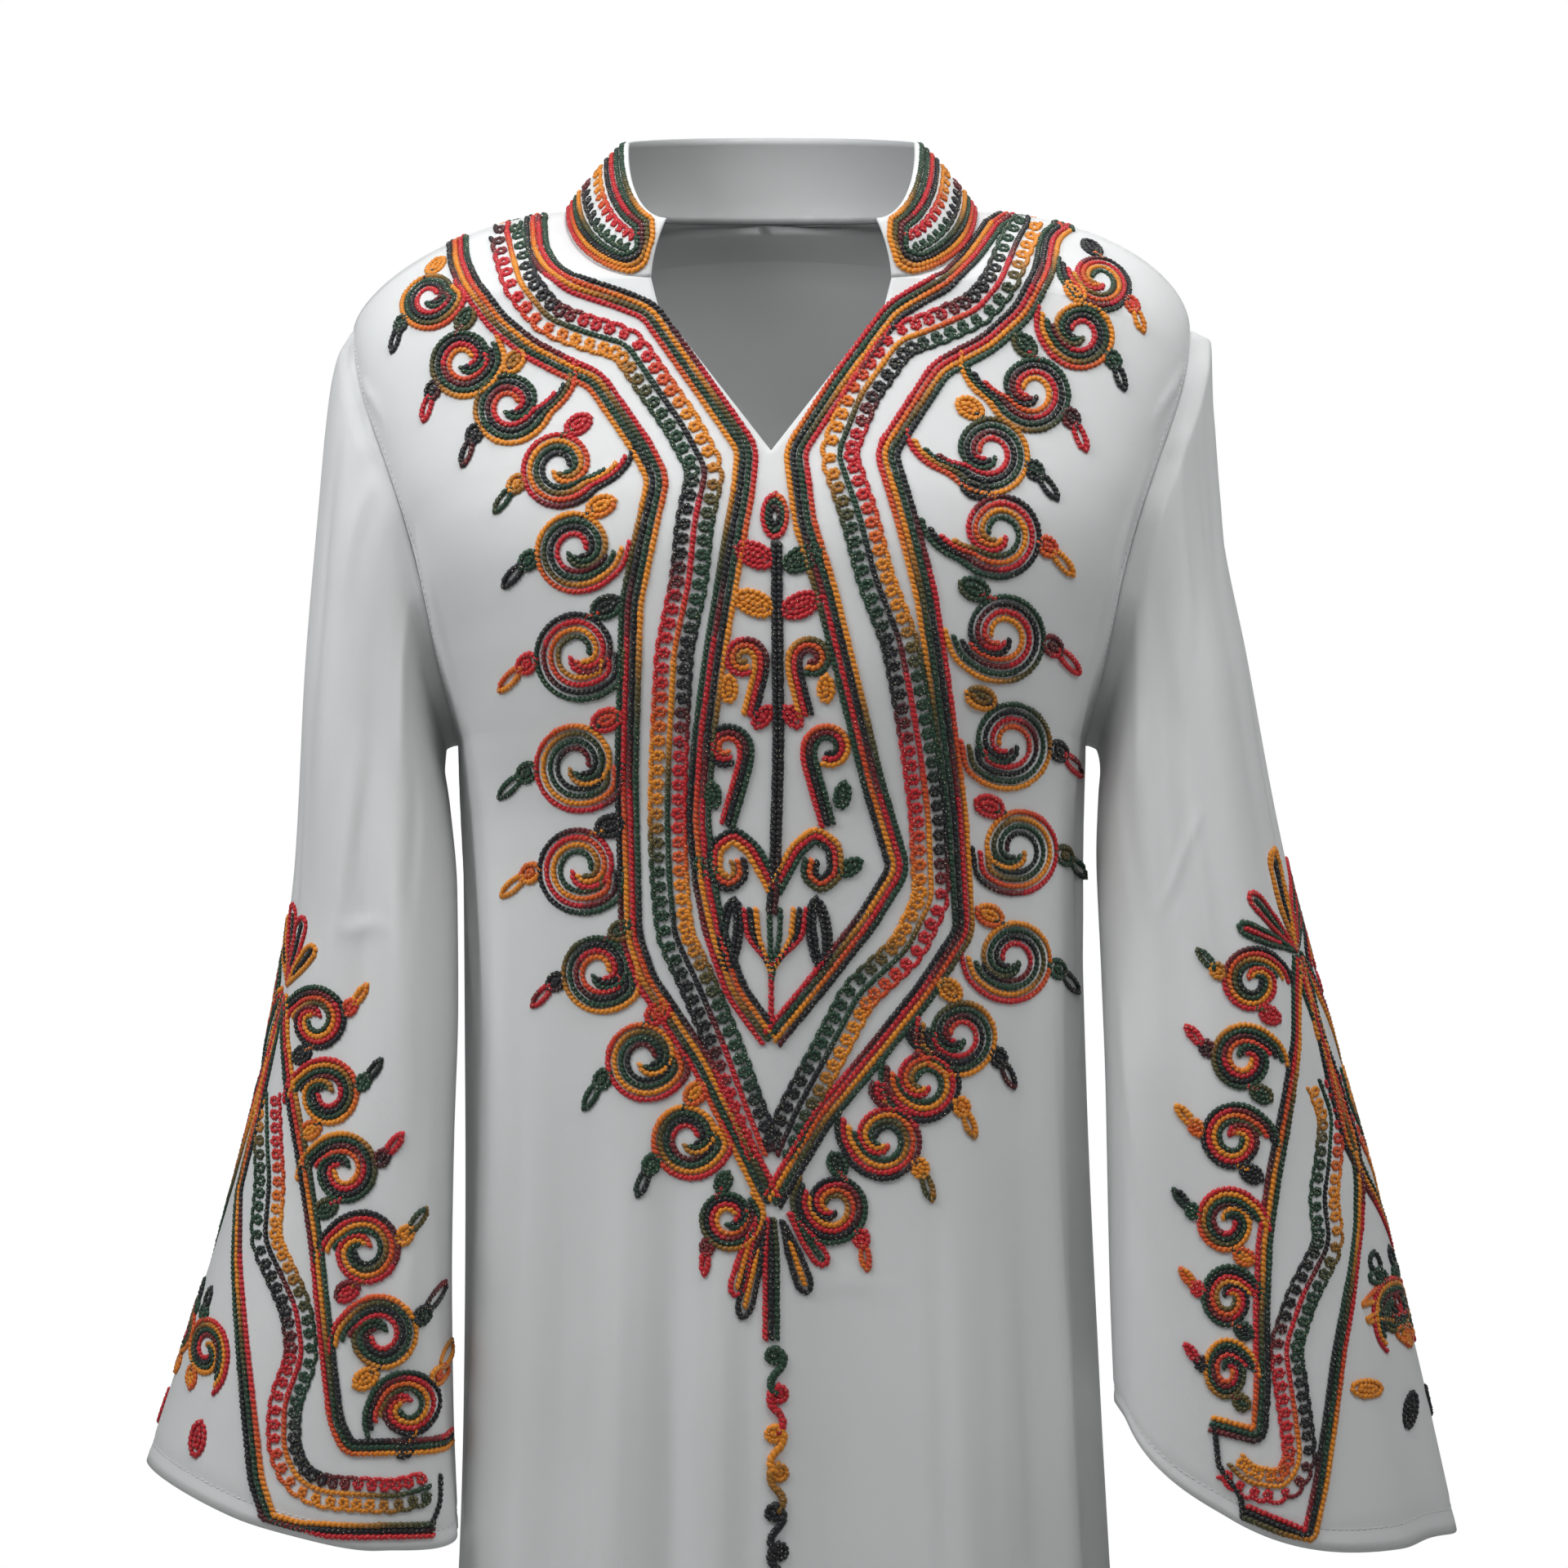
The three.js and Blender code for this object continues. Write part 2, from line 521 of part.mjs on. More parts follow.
// Along a seam the walls on both sides of it take one direction, halfway between their own, and each
// panel draws back from it, squarely to that direction and to the seam.
// A pair holds the piece's point, the panel and the panel's edge there.
function shareSeam(piece, pairs) {
  const met = new Map();
  for (const [k, panel, seamPoint] of pairs) {
    if (!met.has(k)) met.set(k, new Map());
    met.get(k).set(panel, seamPoint);
  }
  for (const [k, panels] of met) {
    const corner = panels.size > 1;
    const sum = piece.ways[k].clone();
    for (const [panel, { edge }] of panels) sum.add(panel.ways[edge]);
    if (corner) sum.y = 0;
    sum.normalize();
    piece.ways[k].copy(sum);
    for (const [panel, { edge, next, run }] of panels) {
      panel.ways[edge].copy(sum);
      const { points } = panel.sheet;
      const away = (corner ? new THREE.Vector3(0, 1, 0) : run.clone()).cross(sum).normalize();
      const inwards = Math.sign(away.dot(points[next].clone().sub(points[edge])));
      points[edge].addScaledVector(away, inwards * SEAM_GAP);
    }
  }
}

function shareArmhole(sleeve, name) {
  const count = sleeve.seam.length - 1;
  shareSeam(sleeve, [
    ...front.armhole[name].map((seamPoint, row) => [sleeve.seam[row], front, seamPoint]),
    ...back.armhole[name].map((seamPoint, row) => [sleeve.seam[(count - row) % count], back, seamPoint]),
  ]);
}

// The collar stands on the neckline from one end of the slit round the back to the other end.
function collarColumns() {
  const part = (side, rows, last) => rows.filter((down) => down <= last)
    .map((down) => ({ side, turn: (Math.PI / 2) * (1 - down / last) }));
  return {
    front: part('front', FRONT_ROWS, DOWN_SLIT_TOP),
    back: part('back', BACK_ROWS, DOWN_BACK_NECK),
  };
}

function collarTop(side, turn) {
  const s = Math.sin(turn);
  const c = Math.cos(turn);
  if (side === 'front') {
    return new THREE.Vector3(
      COLLAR_TOP_FRONT.x + (COLLAR_TOP_SIDE.x - COLLAR_TOP_FRONT.x) * s,
      COLLAR_TOP_SIDE.y + (COLLAR_TOP_FRONT.y - COLLAR_TOP_SIDE.y) * c,
      COLLAR_TOP_SIDE.z + (COLLAR_TOP_FRONT.z - COLLAR_TOP_SIDE.z) * c);
  }
  return new THREE.Vector3(
    COLLAR_TOP_SIDE.x * s,
    COLLAR_TOP_SIDE.y + (COLLAR_TOP_BACK.y - COLLAR_TOP_SIDE.y) * c,
    COLLAR_TOP_SIDE.z + (COLLAR_TOP_BACK.z - COLLAR_TOP_SIDE.z) * c);
}

function collarPoint(side, turn, up) {
  const foot = neckline(side, turn);
  const top = collarTop(side, turn);
  const bow = COLLAR_BOW * 4 * up * (1 - up);
  const point = foot.clone().lerp(top, up);
  const way = new THREE.Vector3(point.x, point.y, 0).normalize();
  return point.addScaledVector(way, bow);
}

function collarSheet() {
  const { front: ahead, back: behind } = collarColumns();
  const half = [...ahead.slice().reverse(), ...behind.slice(1)];
  const round = [
    ...half.map((item) => ({ ...item, sign: -1 })),
    ...half.slice(0, -1).reverse().map((item) => ({ ...item, sign: 1 })),
  ];
  const rows = [];
  for (let j = 0; j <= COLLAR_ROWS; j += 1) {
    rows.push(round.map(({ side, turn, sign }) => {
      const point = collarPoint(side, turn, j / COLLAR_ROWS);
      return new THREE.Vector3(sign * point.x, point.y, point.z);
    }));
  }
  const sheet = new Sheet();
  const seam = sheet.grid(rows, true)[0];
  const count = ahead.length;
  const last = seam.length - 1;
  const foot = {
    right: { front: ahead.map((_, k) => seam[count - 1 - k]), back: behind.map((_, k) => seam[count - 1 + k]) },
    left: {
      front: ahead.map((_, k) => seam[last - (count - 1 - k)]),
      back: behind.map((_, k) => seam[last - (count - 1 + k)]),
    },
  };
  return { sheet, ways: sheet.normals(), foot };
}

function shareNeck(piece) {
  const pairs = [];
  for (const name of ['right', 'left']) {
    front.neck[name].forEach((seamPoint, row) => pairs.push([piece.foot[name].front[row], front, seamPoint]));
    back.neck[name].forEach((seamPoint, row) => pairs.push([piece.foot[name].back[row], back, seamPoint]));
  }
  shareSeam(piece, pairs);
}

const WHITE = '#f1f2f0';
const CLOTH_ROUGHNESS = 0.62;

function cloth(name, geometry) {
  const material = new THREE.MeshStandardMaterial({ color: WHITE, roughness: CLOTH_ROUGHNESS, metalness: 0 });
  const mesh = new THREE.Mesh(geometry, material);
  mesh.name = name;
  return mesh;
}

const front = panelSheet('front');
const back = panelSheet('back');
const sleeveRight = sleeveSheet('right');
const sleeveLeft = sleeveSheet('left');
const collar = collarSheet();
shareArmhole(sleeveRight, 'right');
shareArmhole(sleeveLeft, 'left');
shareNeck(collar);

const robe = new THREE.Group();
robe.add(
  cloth('front', front.sheet.wall(CLOTH, front.ways)),
  cloth('back', back.sheet.wall(CLOTH, back.ways)),
  cloth('sleeve_right', sleeveRight.sheet.wall(CLOTH, sleeveRight.ways)),
  cloth('sleeve_left', sleeveLeft.sheet.wall(CLOTH, sleeveLeft.ways)),
  cloth('collar', collar.sheet.wall(COLLAR_CLOTH, collar.ways)),
);

export default robe;
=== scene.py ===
# %% [markdown]
# # A long embroidered robe
# The robe is white crepe: a front and a back panel, two bell sleeves and a stand collar. Rows of thick
# thread lie on it like thin rope. Every piece of cloth here is a surface worked out from a formula, and the
# embroidery is then sewn onto that surface stitch by stitch. The imported CAD model comes first, as a fixed
# frame: it says where each piece is, and its box is measured and printed at the end beside the robe's.

# %% Load the frame
import math

import bpy
import numpy as np
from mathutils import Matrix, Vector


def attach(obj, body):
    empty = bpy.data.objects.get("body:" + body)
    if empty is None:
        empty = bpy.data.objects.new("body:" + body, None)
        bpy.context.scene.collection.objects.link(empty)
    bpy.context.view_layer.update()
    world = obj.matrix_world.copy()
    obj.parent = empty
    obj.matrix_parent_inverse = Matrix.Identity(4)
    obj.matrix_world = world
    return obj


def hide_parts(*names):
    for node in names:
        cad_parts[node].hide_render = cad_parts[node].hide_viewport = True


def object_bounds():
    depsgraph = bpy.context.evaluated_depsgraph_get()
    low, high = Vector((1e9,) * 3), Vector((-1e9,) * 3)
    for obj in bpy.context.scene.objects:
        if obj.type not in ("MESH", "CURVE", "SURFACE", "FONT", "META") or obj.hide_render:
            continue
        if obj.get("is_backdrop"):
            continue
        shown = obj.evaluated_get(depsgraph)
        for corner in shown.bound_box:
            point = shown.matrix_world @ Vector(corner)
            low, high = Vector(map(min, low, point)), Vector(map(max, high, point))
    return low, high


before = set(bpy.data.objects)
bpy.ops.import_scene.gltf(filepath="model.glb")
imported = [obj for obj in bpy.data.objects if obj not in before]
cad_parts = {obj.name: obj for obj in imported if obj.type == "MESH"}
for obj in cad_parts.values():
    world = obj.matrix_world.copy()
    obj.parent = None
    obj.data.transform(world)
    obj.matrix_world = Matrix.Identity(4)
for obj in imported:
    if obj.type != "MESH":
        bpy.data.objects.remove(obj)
cad_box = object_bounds()
print("CAD nodes:", ", ".join(sorted(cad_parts)))

# %% [markdown]
# ## The camera
# The photograph is square and looks straight at the chest from about two metres away. A lens is easiest to
# find from two plain facts: how far off the camera stands, and how many millimetres one pixel covers at the
# depth of the neck. Their ratio is the focal length in pixels, and the sensor's width turns it into
# millimetres.

# %% Place the camera
PHOTO_WIDTH = 1920  # pixels
SENSOR_WIDTH = 36.0  # millimetres
PIXEL_AT_NECK = 0.465  # millimetres
EYE = (0.007, -2.200, -0.321)  # metres

focal_pixels = -EYE[1] * 1000 / PIXEL_AT_NECK
camera_data = bpy.data.cameras.new("camera")
camera_data.sensor_width = SENSOR_WIDTH
camera_data.lens = SENSOR_WIDTH * focal_pixels / PHOTO_WIDTH
camera = bpy.data.objects.new("camera", camera_data)
camera.location = EYE
camera.rotation_euler = (math.radians(90), 0, 0)
bpy.context.scene.collection.objects.link(camera)
bpy.context.scene.camera = camera
print(f"lens {camera_data.lens:.1f} mm")

# %% [markdown]
# ## Floor and light
# A studio for white cloth has to be soft, or the folds turn into black lines. Two large panels hang high at
# the sides, the left one stronger, so the shoulders are bright and the skirt falls off into grey, as in the
# photograph. Weaker panels hang in front, above and behind. The sky is white to the camera, as the
# photograph's background is, and lights the cloth only faintly. The floor is a plain round one, small enough
# to end just below the photograph's frame.

# %% Build the studio
FLOOR_HEIGHT = -1.46  # metres


def put_in_scene(mesh, name):
    """An object that holds the mesh, at the origin, unturned."""
    made = bpy.data.objects.new(name, mesh)
    bpy.context.scene.collection.objects.link(made)
    return made


def area_light(name, place, target, size, watts, tint=(1, 1, 1)):
    """A square light at a place, turned so that it faces the target."""
    data = bpy.data.lights.new(name, "AREA")
    data.shape = "SQUARE"
    data.size = size
    data.energy = watts
    data.color = tint
    light = put_in_scene(data, name)
    light.location = place
    way = np.array(target) - np.array(place)
    light.rotation_euler = (
        math.acos(-way[2] / np.linalg.norm(way)), 0, math.atan2(way[1], way[0]) - math.pi / 2)
    return light


area_light("light_left", (-1.2, -0.75, 0.8), (0, 0, -0.3), 0.8, 19, (0.97, 0.99, 1))
area_light("light_right", (1.25, -0.6, 0.85), (0, 0, -0.3), 0.8, 9, (0.97, 0.99, 1))
area_light("light_front", (0.4, -1.0, 1.2), (0, 0, -0.2), 0.9, 8)
area_light("light_above", (0, -0.4, 1.2), (0, 0, -0.1), 1.0, 9)
area_light("light_behind", (0.3, 2.4, 1.4), (0, 0, -0.4), 2.0, 28)

SKY_ON_CLOTH = 0.065
SKY_SEEN = 1.0

world = bpy.data.worlds.new("studio")
world.use_nodes = True
bpy.context.scene.world = world
nodes, links = world.node_tree.nodes, world.node_tree.links
seen = nodes.new("ShaderNodeLightPath")
choose = nodes.new("ShaderNodeMixShader")
links.new(seen.outputs["Is Camera Ray"], choose.inputs[0])
skies = (nodes["Background"], nodes.new("ShaderNodeBackground"))
for k, (sky, strength) in enumerate(zip(skies, (SKY_ON_CLOTH, SKY_SEEN))):
    sky.inputs["Color"].default_value = (1.0, 1.0, 1.0, 1)
    sky.inputs["Strength"].default_value = strength
    links.new(sky.outputs[0], choose.inputs[k + 1])
links.new(choose.outputs[0], nodes["World Output"].inputs[0])
bpy.context.scene.view_settings.view_transform = "Standard"


def disc(radius, height, rings=12, spokes=96):
    """A round floor: rings of points at equal steps of radius, joined to one point in the middle."""
    turn = np.linspace(0, 2 * np.pi, spokes, endpoint=False)
    reach = np.linspace(0, radius, rings + 1)[1:, None]
    circles = np.stack(np.broadcast_arrays(reach * np.cos(turn), reach * np.sin(turn), height), -1)
    points = np.vstack([[[0, 0, height]], circles.reshape(-1, 3)])
    k = np.arange(spokes)
    after = (k + 1) % spokes
    middle = [(0, int(a) + 1, int(b) + 1) for a, b in zip(k, after)]
    start = 1 + spokes * np.arange(rings - 1)[:, None]
    quads = np.stack([start + k, start + spokes + k, start + spokes + after, start + after], -1)
    mesh = bpy.data.meshes.new("floor")
    mesh.from_pydata(points.tolist(), [], middle + quads.reshape(-1, 4).tolist())
    return mesh


floor = put_in_scene(disc(3.1, FLOOR_HEIGHT), "floor")
floor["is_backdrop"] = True
paint = bpy.data.materials.new("studio_floor")
paint.use_nodes = True
paint_shader = paint.node_tree.nodes["Principled BSDF"]
paint_shader.inputs["Base Color"].default_value = (0.86, 0.86, 0.86, 1)
paint_shader.inputs["Roughness"].default_value = 0.7
floor.data.materials.append(paint)
print("floor at", FLOOR_HEIGHT, "m")

# %% [markdown]
# ## Curves through a few sizes
# A pattern cutter writes a shape down as a short table: at this distance down the cloth, the edge lies here.
# Between the rows the edge runs smoothly. A cubic whose slopes are the harmonic mean of the slopes on both
# sides never swings past its points, so a straight stretch stays straight. Two small functions go with it: a
# soft step and a soft bump. Small helpers for directions, quarter ellipses and lengths along a row follow.
# All of them take whole arrays.

# %% Soft steps, bumps and curves


def smooth_step(low, high, value):
    """Rises from 0 at low to 1 at high as 3 t squared minus 2 t cubed."""
    t = np.clip((value - low) / (high - low), 0, 1)
    return t * t * (3 - 2 * t)


def bump(q):
    """A soft hill: one minus q squared, squared, and nothing past -1 and 1."""
    return np.where(np.abs(q) < 1, (1 - q * q) ** 2, 0.0)


def curve(table, key, name, at):
    """The cubic between two rows of a table whose slopes are harmonic means of their neighbours'."""
    x = np.asarray(table[key], float)
    y = np.asarray(table[name], float)
    at = np.clip(at, x[0], x[-1])
    step = np.diff(x)
    slope = np.diff(y) / step
    before, after = slope[:-1], slope[1:]
    safe = np.where(before * after > 0, before + after, 1.0)
    inside = np.where(before * after > 0, 2 * before * after / safe, 0.0)
    tangent = np.concatenate([slope[:1], inside, slope[-1:]])
    i = np.clip(np.searchsorted(x, at, side="right") - 1, 0, len(step) - 1)
    t = (at - x[i]) / step[i]
    rise = t * t * (3 - 2 * t)
    bend = step[i] * t * (1 - t) * (tangent[i] * (1 - t) - tangent[i + 1] * t)
    return y[i] * (1 - rise) + y[i + 1] * rise + bend


def mix(a, b, share):
    """The point that lies this share of the way from a to b."""
    return a + (b - a) * np.asarray(share)[..., None]


def unit(vectors):
    """The vectors divided by their lengths."""
    return vectors / np.maximum(np.linalg.norm(vectors, axis=-1, keepdims=True), 1e-9)


def quarter_ellipse(low, high, turn):
    """From the point low at turn 0 to the point high a quarter turn on: x goes by the sine of the turn,
    depth and height by its cosine."""
    s, c = np.sin(turn), np.cos(turn)
    return np.stack([
        low[0] + (high[0] - low[0]) * s, high[1] + (low[1] - high[1]) * c,
        high[2] + (low[2] - high[2]) * c], -1)


def gone_along(points):
    """How far along a row of points each one lies, as a sum of straight steps."""
    return np.concatenate([[0], np.cumsum(np.linalg.norm(np.diff(points, axis=0), axis=1))])


def read_at(at, gone, values):
    """Every column of the values at the wanted distances, straight between the known ones."""
    return np.stack([np.interp(at, gone, column) for column in values.T], -1)


print("curve through 0, 10, 10 at half way:", curve({"x": (0, 1, 2), "y": (0, 10, 10)}, "x", "y", 0.5))

# %% [markdown]
# ## The body's cut, in millimetres
# Front and back hang from the shoulder seams. The tables follow three lines down each panel: the middle, the
# armhole edge and the side seam. `down` is measured on the cloth from the shoulder seam. Between the middle
# and the side a section is a rounded arc, a little squarer than an ellipse, because a robe hangs flat in
# front and turns quickly at the sides. The same tables shape the CAD solids, so both agree.

# %% Sizes of the body
MM = 0.001
NECK_POINT = np.array((117.0, 3.0, 5.0))
SLIT_TOP = np.array((66.0, -79.0, -43.0))
SLIT_BEND = np.array((62.0, -84.0, -59.0))
SLIT_FOOT = np.array((0.0, -113.0, -141.0))
BACK_NECK = np.array((0.0, 66.0, 7.0))
DOWN_SLIT_TOP, DOWN_SLIT_BEND, DOWN_SLIT_FOOT = 62, 74, 140
DOWN_BACK_NECK, DOWN_UNDERARM, DOWN_HEM = 40, 262, 1375
CENTRE_FRONT = {
    "down": (140, 168, 198, 230, 262, 345, 470, 640, 850, 1100, 1375),
    "x": (0,) * 11,
    "y": (-113, -120, -124, -124, -121, -116, -114, -119, -131, -150, -174),
    "z": (-141, -166, -200, -244, -290, -372, -495, -662, -870, -1115, -1385)}
CENTRE_BACK = {
    "down": (40, 62, 85, 112, 140, 168, 198, 230, 262, 345, 470, 640, 850, 1100, 1375),
    "x": (0,) * 15,
    "y": (66, 80, 91, 99, 104, 106, 104, 100, 97, 94, 98, 108, 124, 145, 170),
    "z": (7, -13, -40, -76, -112, -152, -198, -246, -292, -374, -497, -664, -872, -1117, -1385)}
FRONT_EDGE = {
    "down": (0, 28, 62, 100, 140, 180, 222, 262),
    "x": (239, 236, 229, 215, 203, 193, 185, 177),
    "y": (8, -16, -40, -58, -66, -64, -44, 4),
    "z": (-62, -74, -102, -140, -174, -212, -256, -298)}
BACK_EDGE = {
    "down": (0, 28, 62, 100, 140, 180, 222, 262),
    "x": (239, 236, 229, 217, 206, 195, 186, 177),
    "y": (8, 32, 56, 72, 76, 70, 48, 4),
    "z": (-62, -76, -108, -148, -184, -222, -264, -298)}
SIDE_SEAM = {
    "down": (262, 345, 470, 640, 740, 850, 1100, 1375),
    "x": (177, 175, 176, 180, 184, 191, 211, 237),
    "y": (4, 3, 1, -1, -2, -3, -4, -4),
    "z": (-298, -378, -500, -665, -763, -871, -1115, -1384)}
SQUARENESS = {"down": (0, 100, 222, 545, 1375), "power": (1.75, 2.1, 2.35, 2.3, 2.15)}
SHOULDER_TILT = 0.15
SIDE_SWAY = 8
CHEST_ACROSS, CHEST_DOWN, CHEST_REACH, CHEST_RISE = 84, 200, 62, 7


def line(table, down):
    """Points on one of the tables' lines."""
    return np.stack([curve(table, "down", axis, down) for axis in "xyz"], -1)


def neckline(side, turn):
    """A quarter of an ellipse: turn 0 is the collar's front end or the centre back, a quarter turn the
    shoulder."""
    return quarter_ellipse(SLIT_TOP if side == "front" else BACK_NECK, NECK_POINT, turn)


def inner_edge(side, down):
    """The middle line; in front also the slit's straight edges; above them the neckline."""
    if side == "back":
        turn = np.pi / 2 * (1 - np.clip(down / DOWN_BACK_NECK, 0, 1))
        return np.where((down >= DOWN_BACK_NECK)[..., None], line(CENTRE_BACK, down), neckline(side, turn))
    turn = np.pi / 2 * (1 - np.clip(down / DOWN_SLIT_TOP, 0, 1))
    upper = np.clip((down - DOWN_SLIT_TOP) / (DOWN_SLIT_BEND - DOWN_SLIT_TOP), 0, 1)
    lower = np.clip((down - DOWN_SLIT_BEND) / (DOWN_SLIT_FOOT - DOWN_SLIT_BEND), 0, 1)
    slit = mix(mix(SLIT_TOP, SLIT_BEND, upper), SLIT_FOOT, lower)
    edge = np.where((down < DOWN_SLIT_TOP)[..., None], neckline(side, turn), slit)
    return np.where((down >= DOWN_SLIT_FOOT)[..., None], line(CENTRE_FRONT, down), edge)


def outer_edge(side, down):
    """The armhole's edge, then the side seam."""
    armhole = line(FRONT_EDGE if side == "front" else BACK_EDGE, down)
    return np.where((down > DOWN_UNDERARM)[..., None], line(SIDE_SEAM, down), armhole)


def eased_edge(side, down):
    """The mean of the outer edge over a hand's breadth up and down, free of the corner under the arm."""
    reach = smooth_step(120, 200, down) * (1 - smooth_step(330, 420, down)) * 44
    spots = [outer_edge(side, down + reach * k) for k in (-1, -0.5, 0, 0.5, 1)]
    return sum(spots) / len(spots)


def smooth_panel(side, sign, share, down):
    """Half a panel with no folds: x goes by the sine of the share, depth and height by the rounded cosine,
    the root of one minus that sine to the power of the squareness. Away from the side the outer edge counts
    without its corner under the arm."""
    share, down = np.broadcast_arrays(np.asarray(share, float), np.asarray(down, float))
    inner = inner_edge(side, down)
    outer = mix(eased_edge(side, down), outer_edge(side, down), smooth_step(0.62, 0.98, share))
    tilt = sign * SHOULDER_TILT * (1 - smooth_step(0, DOWN_SLIT_FOOT, down))
    power = curve(SQUARENESS, "down", "power", down) + tilt
    across = np.sin(share * np.pi / 2)
    inward = np.clip(1 - np.abs(across) ** power, 0, None) ** (1 / power)
    x = inner[..., 0] + (outer[..., 0] - inner[..., 0]) * across
    y = outer[..., 1] + (inner[..., 1] - outer[..., 1]) * inward
    z = outer[..., 2] + (inner[..., 2] - outer[..., 2]) * inward
    if side == "front":
        y = y - CHEST_RISE * bump(np.hypot(x - CHEST_ACROSS, down - CHEST_DOWN) / (2 * CHEST_REACH))
    x = sign * x + SIDE_SWAY * smooth_step(DOWN_UNDERARM, 800, down) * share * share
    return np.stack([x, y, z], -1)


print("front, half way to the side at the hem:", smooth_panel("front", 1, 0.5, 1375).round())

# %% [markdown]
# ## Folds and creases
# Cloth that hangs free falls in long folds which start small under the chest and deepen towards the hem.
# Each is a soft bump across the panel that wanders a little on its way down. On top of them come short
# creases: where the sleeve pulls at the armhole, over the bust, and one lying line where the robe was
# folded. A crease is a line from one place to another with a width and a height, so it can be set
# where the photograph shows one. Cloth simulation would give other folds than the ones seen.

# %% Sizes of the folds
# Columns: start, place at the start, place at the hem, reach to the right, reach to the left, rise.
FRONT_FOLDS = (
    (230, -0.64, -0.80, 0.14, 0.12, 8), (330, -0.46, -0.48, 0.12, 0.13, -7),
    (400, -0.31, -0.32, 0.06, 0.13, 9), (300, -0.20, -0.21, 0.06, 0.07, -4),
    (420, -0.10, -0.11, 0.10, 0.06, 7), (190, 0.12, 0.17, 0.16, 0.20, -8),
    (420, 0.38, 0.40, 0.06, 0.12, 6), (360, 0.52, 0.54, 0.08, 0.08, -5),
    (280, 0.64, 0.70, 0.12, 0.06, 10), (300, 0.80, 0.84, 0.09, 0.12, -7))
BACK_FOLDS = (
    (260, -0.78, -0.80, 0.12, 0.12, 8), (330, -0.58, -0.60, 0.11, 0.12, -8),
    (240, -0.36, -0.40, 0.13, 0.10, 9), (300, -0.16, -0.18, 0.12, 0.12, -7),
    (220, 0.04, 0.03, 0.11, 0.13, 8), (320, 0.26, 0.28, 0.11, 0.11, -8),
    (250, 0.46, 0.50, 0.10, 0.12, 9), (300, 0.68, 0.70, 0.11, 0.10, -7),
    (270, 0.86, 0.88, 0.09, 0.10, 6))
FOLD_FULL_AT = 700
FOLD_HEM_SHARE = 1.9

# Columns: place and down at one end, place and down at the other, half width, rise.
FRONT_CREASES = (
    (-0.93, 120, -0.70, 430, 10, 2.2), (-0.86, 200, -0.74, 470, 8, -1.8),
    (-0.97, 235, -0.80, 420, 7, 1.8), (-0.66, 330, -0.62, 640, 13, 2.0),
    (0.90, 110, 0.80, 330, 9, 2.0), (0.84, 170, 0.88, 420, 8, -1.7),
    (0.97, 220, 0.86, 480, 7, 1.9), (0.72, 300, 0.70, 560, 12, 1.6),
    (0.03, 560, 0.27, 572, 5, 0.8), (-0.30, 500, -0.29, 800, 6, 2.0),
    (-0.52, 420, -0.50, 760, 12, 1.6), (-0.40, 620, -0.42, 1000, 9, -2.0),
    (0.30, 540, 0.34, 900, 10, 2.0), (0.48, 620, 0.47, 980, 10, -2.0),
    (0.60, 480, 0.62, 820, 8, -1.6), (-0.16, 640, -0.14, 1050, 9, -1.8),
    (0.06, 760, 0.05, 1180, 11, 1.8), (-0.72, 700, -0.75, 1180, 12, -2.2),
    (-0.95, 60, -0.84, 90, 8, 1.4), (0.95, 50, 0.82, 96, 8, 1.4),
    (-0.88, 150, -0.97, 170, 8, -1.2), (0.90, 160, 0.97, 190, 8, -1.2))
BACK_CREASES = (
    (-0.94, 120, -0.66, 360, 11, 2.2), (-0.88, 190, -0.78, 430, 9, -2.0),
    (-0.60, 120, -0.20, 170, 14, 1.6), (-0.30, 60, 0.30, 66, 16, 1.2),
    (0.92, 110, 0.70, 380, 11, 2.2), (0.86, 180, 0.80, 440, 9, -2.0),
    (0.56, 130, 0.16, 180, 14, 1.6), (-0.46, 430, -0.48, 800, 13, 2.0),
    (0.14, 420, 0.16, 780, 12, -2.0), (0.38, 400, 0.36, 700, 12, 1.8),
    (-0.06, 620, -0.08, 1080, 11, 1.8), (-0.70, 620, -0.68, 1040, 12, -2.0),
    (0.60, 560, 0.60, 980, 12, 1.8), (-0.26, 700, -0.28, 1150, 10, -1.8))
PANEL_HALF_WIDTH = 190  # what one unit of place measures when a crease's width is compared with it
SIDE_SHARE = 150  # what one unit of share measures near the side


def body_fold(side, place, down):
    """The sum of bumps across the panel; each grows from its start and fades out at the side seam."""
    rise = np.zeros(np.broadcast(place, down).shape)
    for start, place_from, place_hem, right, left, height in FRONT_FOLDS if side == "front" else BACK_FOLDS:
        share = np.clip((down - start) / (DOWN_HEM - start), 0, None)
        centre = place_from + (place_hem - place_from) * share
        reach = np.where(place < centre, right, left)
        hem_growth = 1 + (FOLD_HEM_SHARE - 1) * smooth_step(FOLD_FULL_AT, DOWN_HEM, down)
        grown = smooth_step(start, FOLD_FULL_AT, down) * hem_growth
        rise = rise + height * grown * bump((place - centre) / reach)
    return rise * (1 - smooth_step(0.93, 1, np.abs(place)))


def creases(table, across, down):
    """The sum of short creases: a bump by the distance from a straight line, tapered to both its ends."""
    rise = np.zeros(np.broadcast(across, down).shape)
    for x0, y0, x1, y1, width, height in table:
        run = np.array((x1 - x0, y1 - y0), float)
        length = np.hypot(*run)
        run = run / length
        along = (across - x0) * run[0] + (down - y0) * run[1]
        aside = (across - x0) * run[1] - (down - y0) * run[0]
        taper = bump(np.clip(2 * along / length - 1, -1, 1)) ** 0.5
        rise = rise + height * taper * bump(aside / width)
    return rise


def in_mm(table):
    """A crease table with its places turned into millimetres across the panel."""
    return tuple((a * PANEL_HALF_WIDTH, b, c * PANEL_HALF_WIDTH, d, w, h) for a, b, c, d, w, h in table)


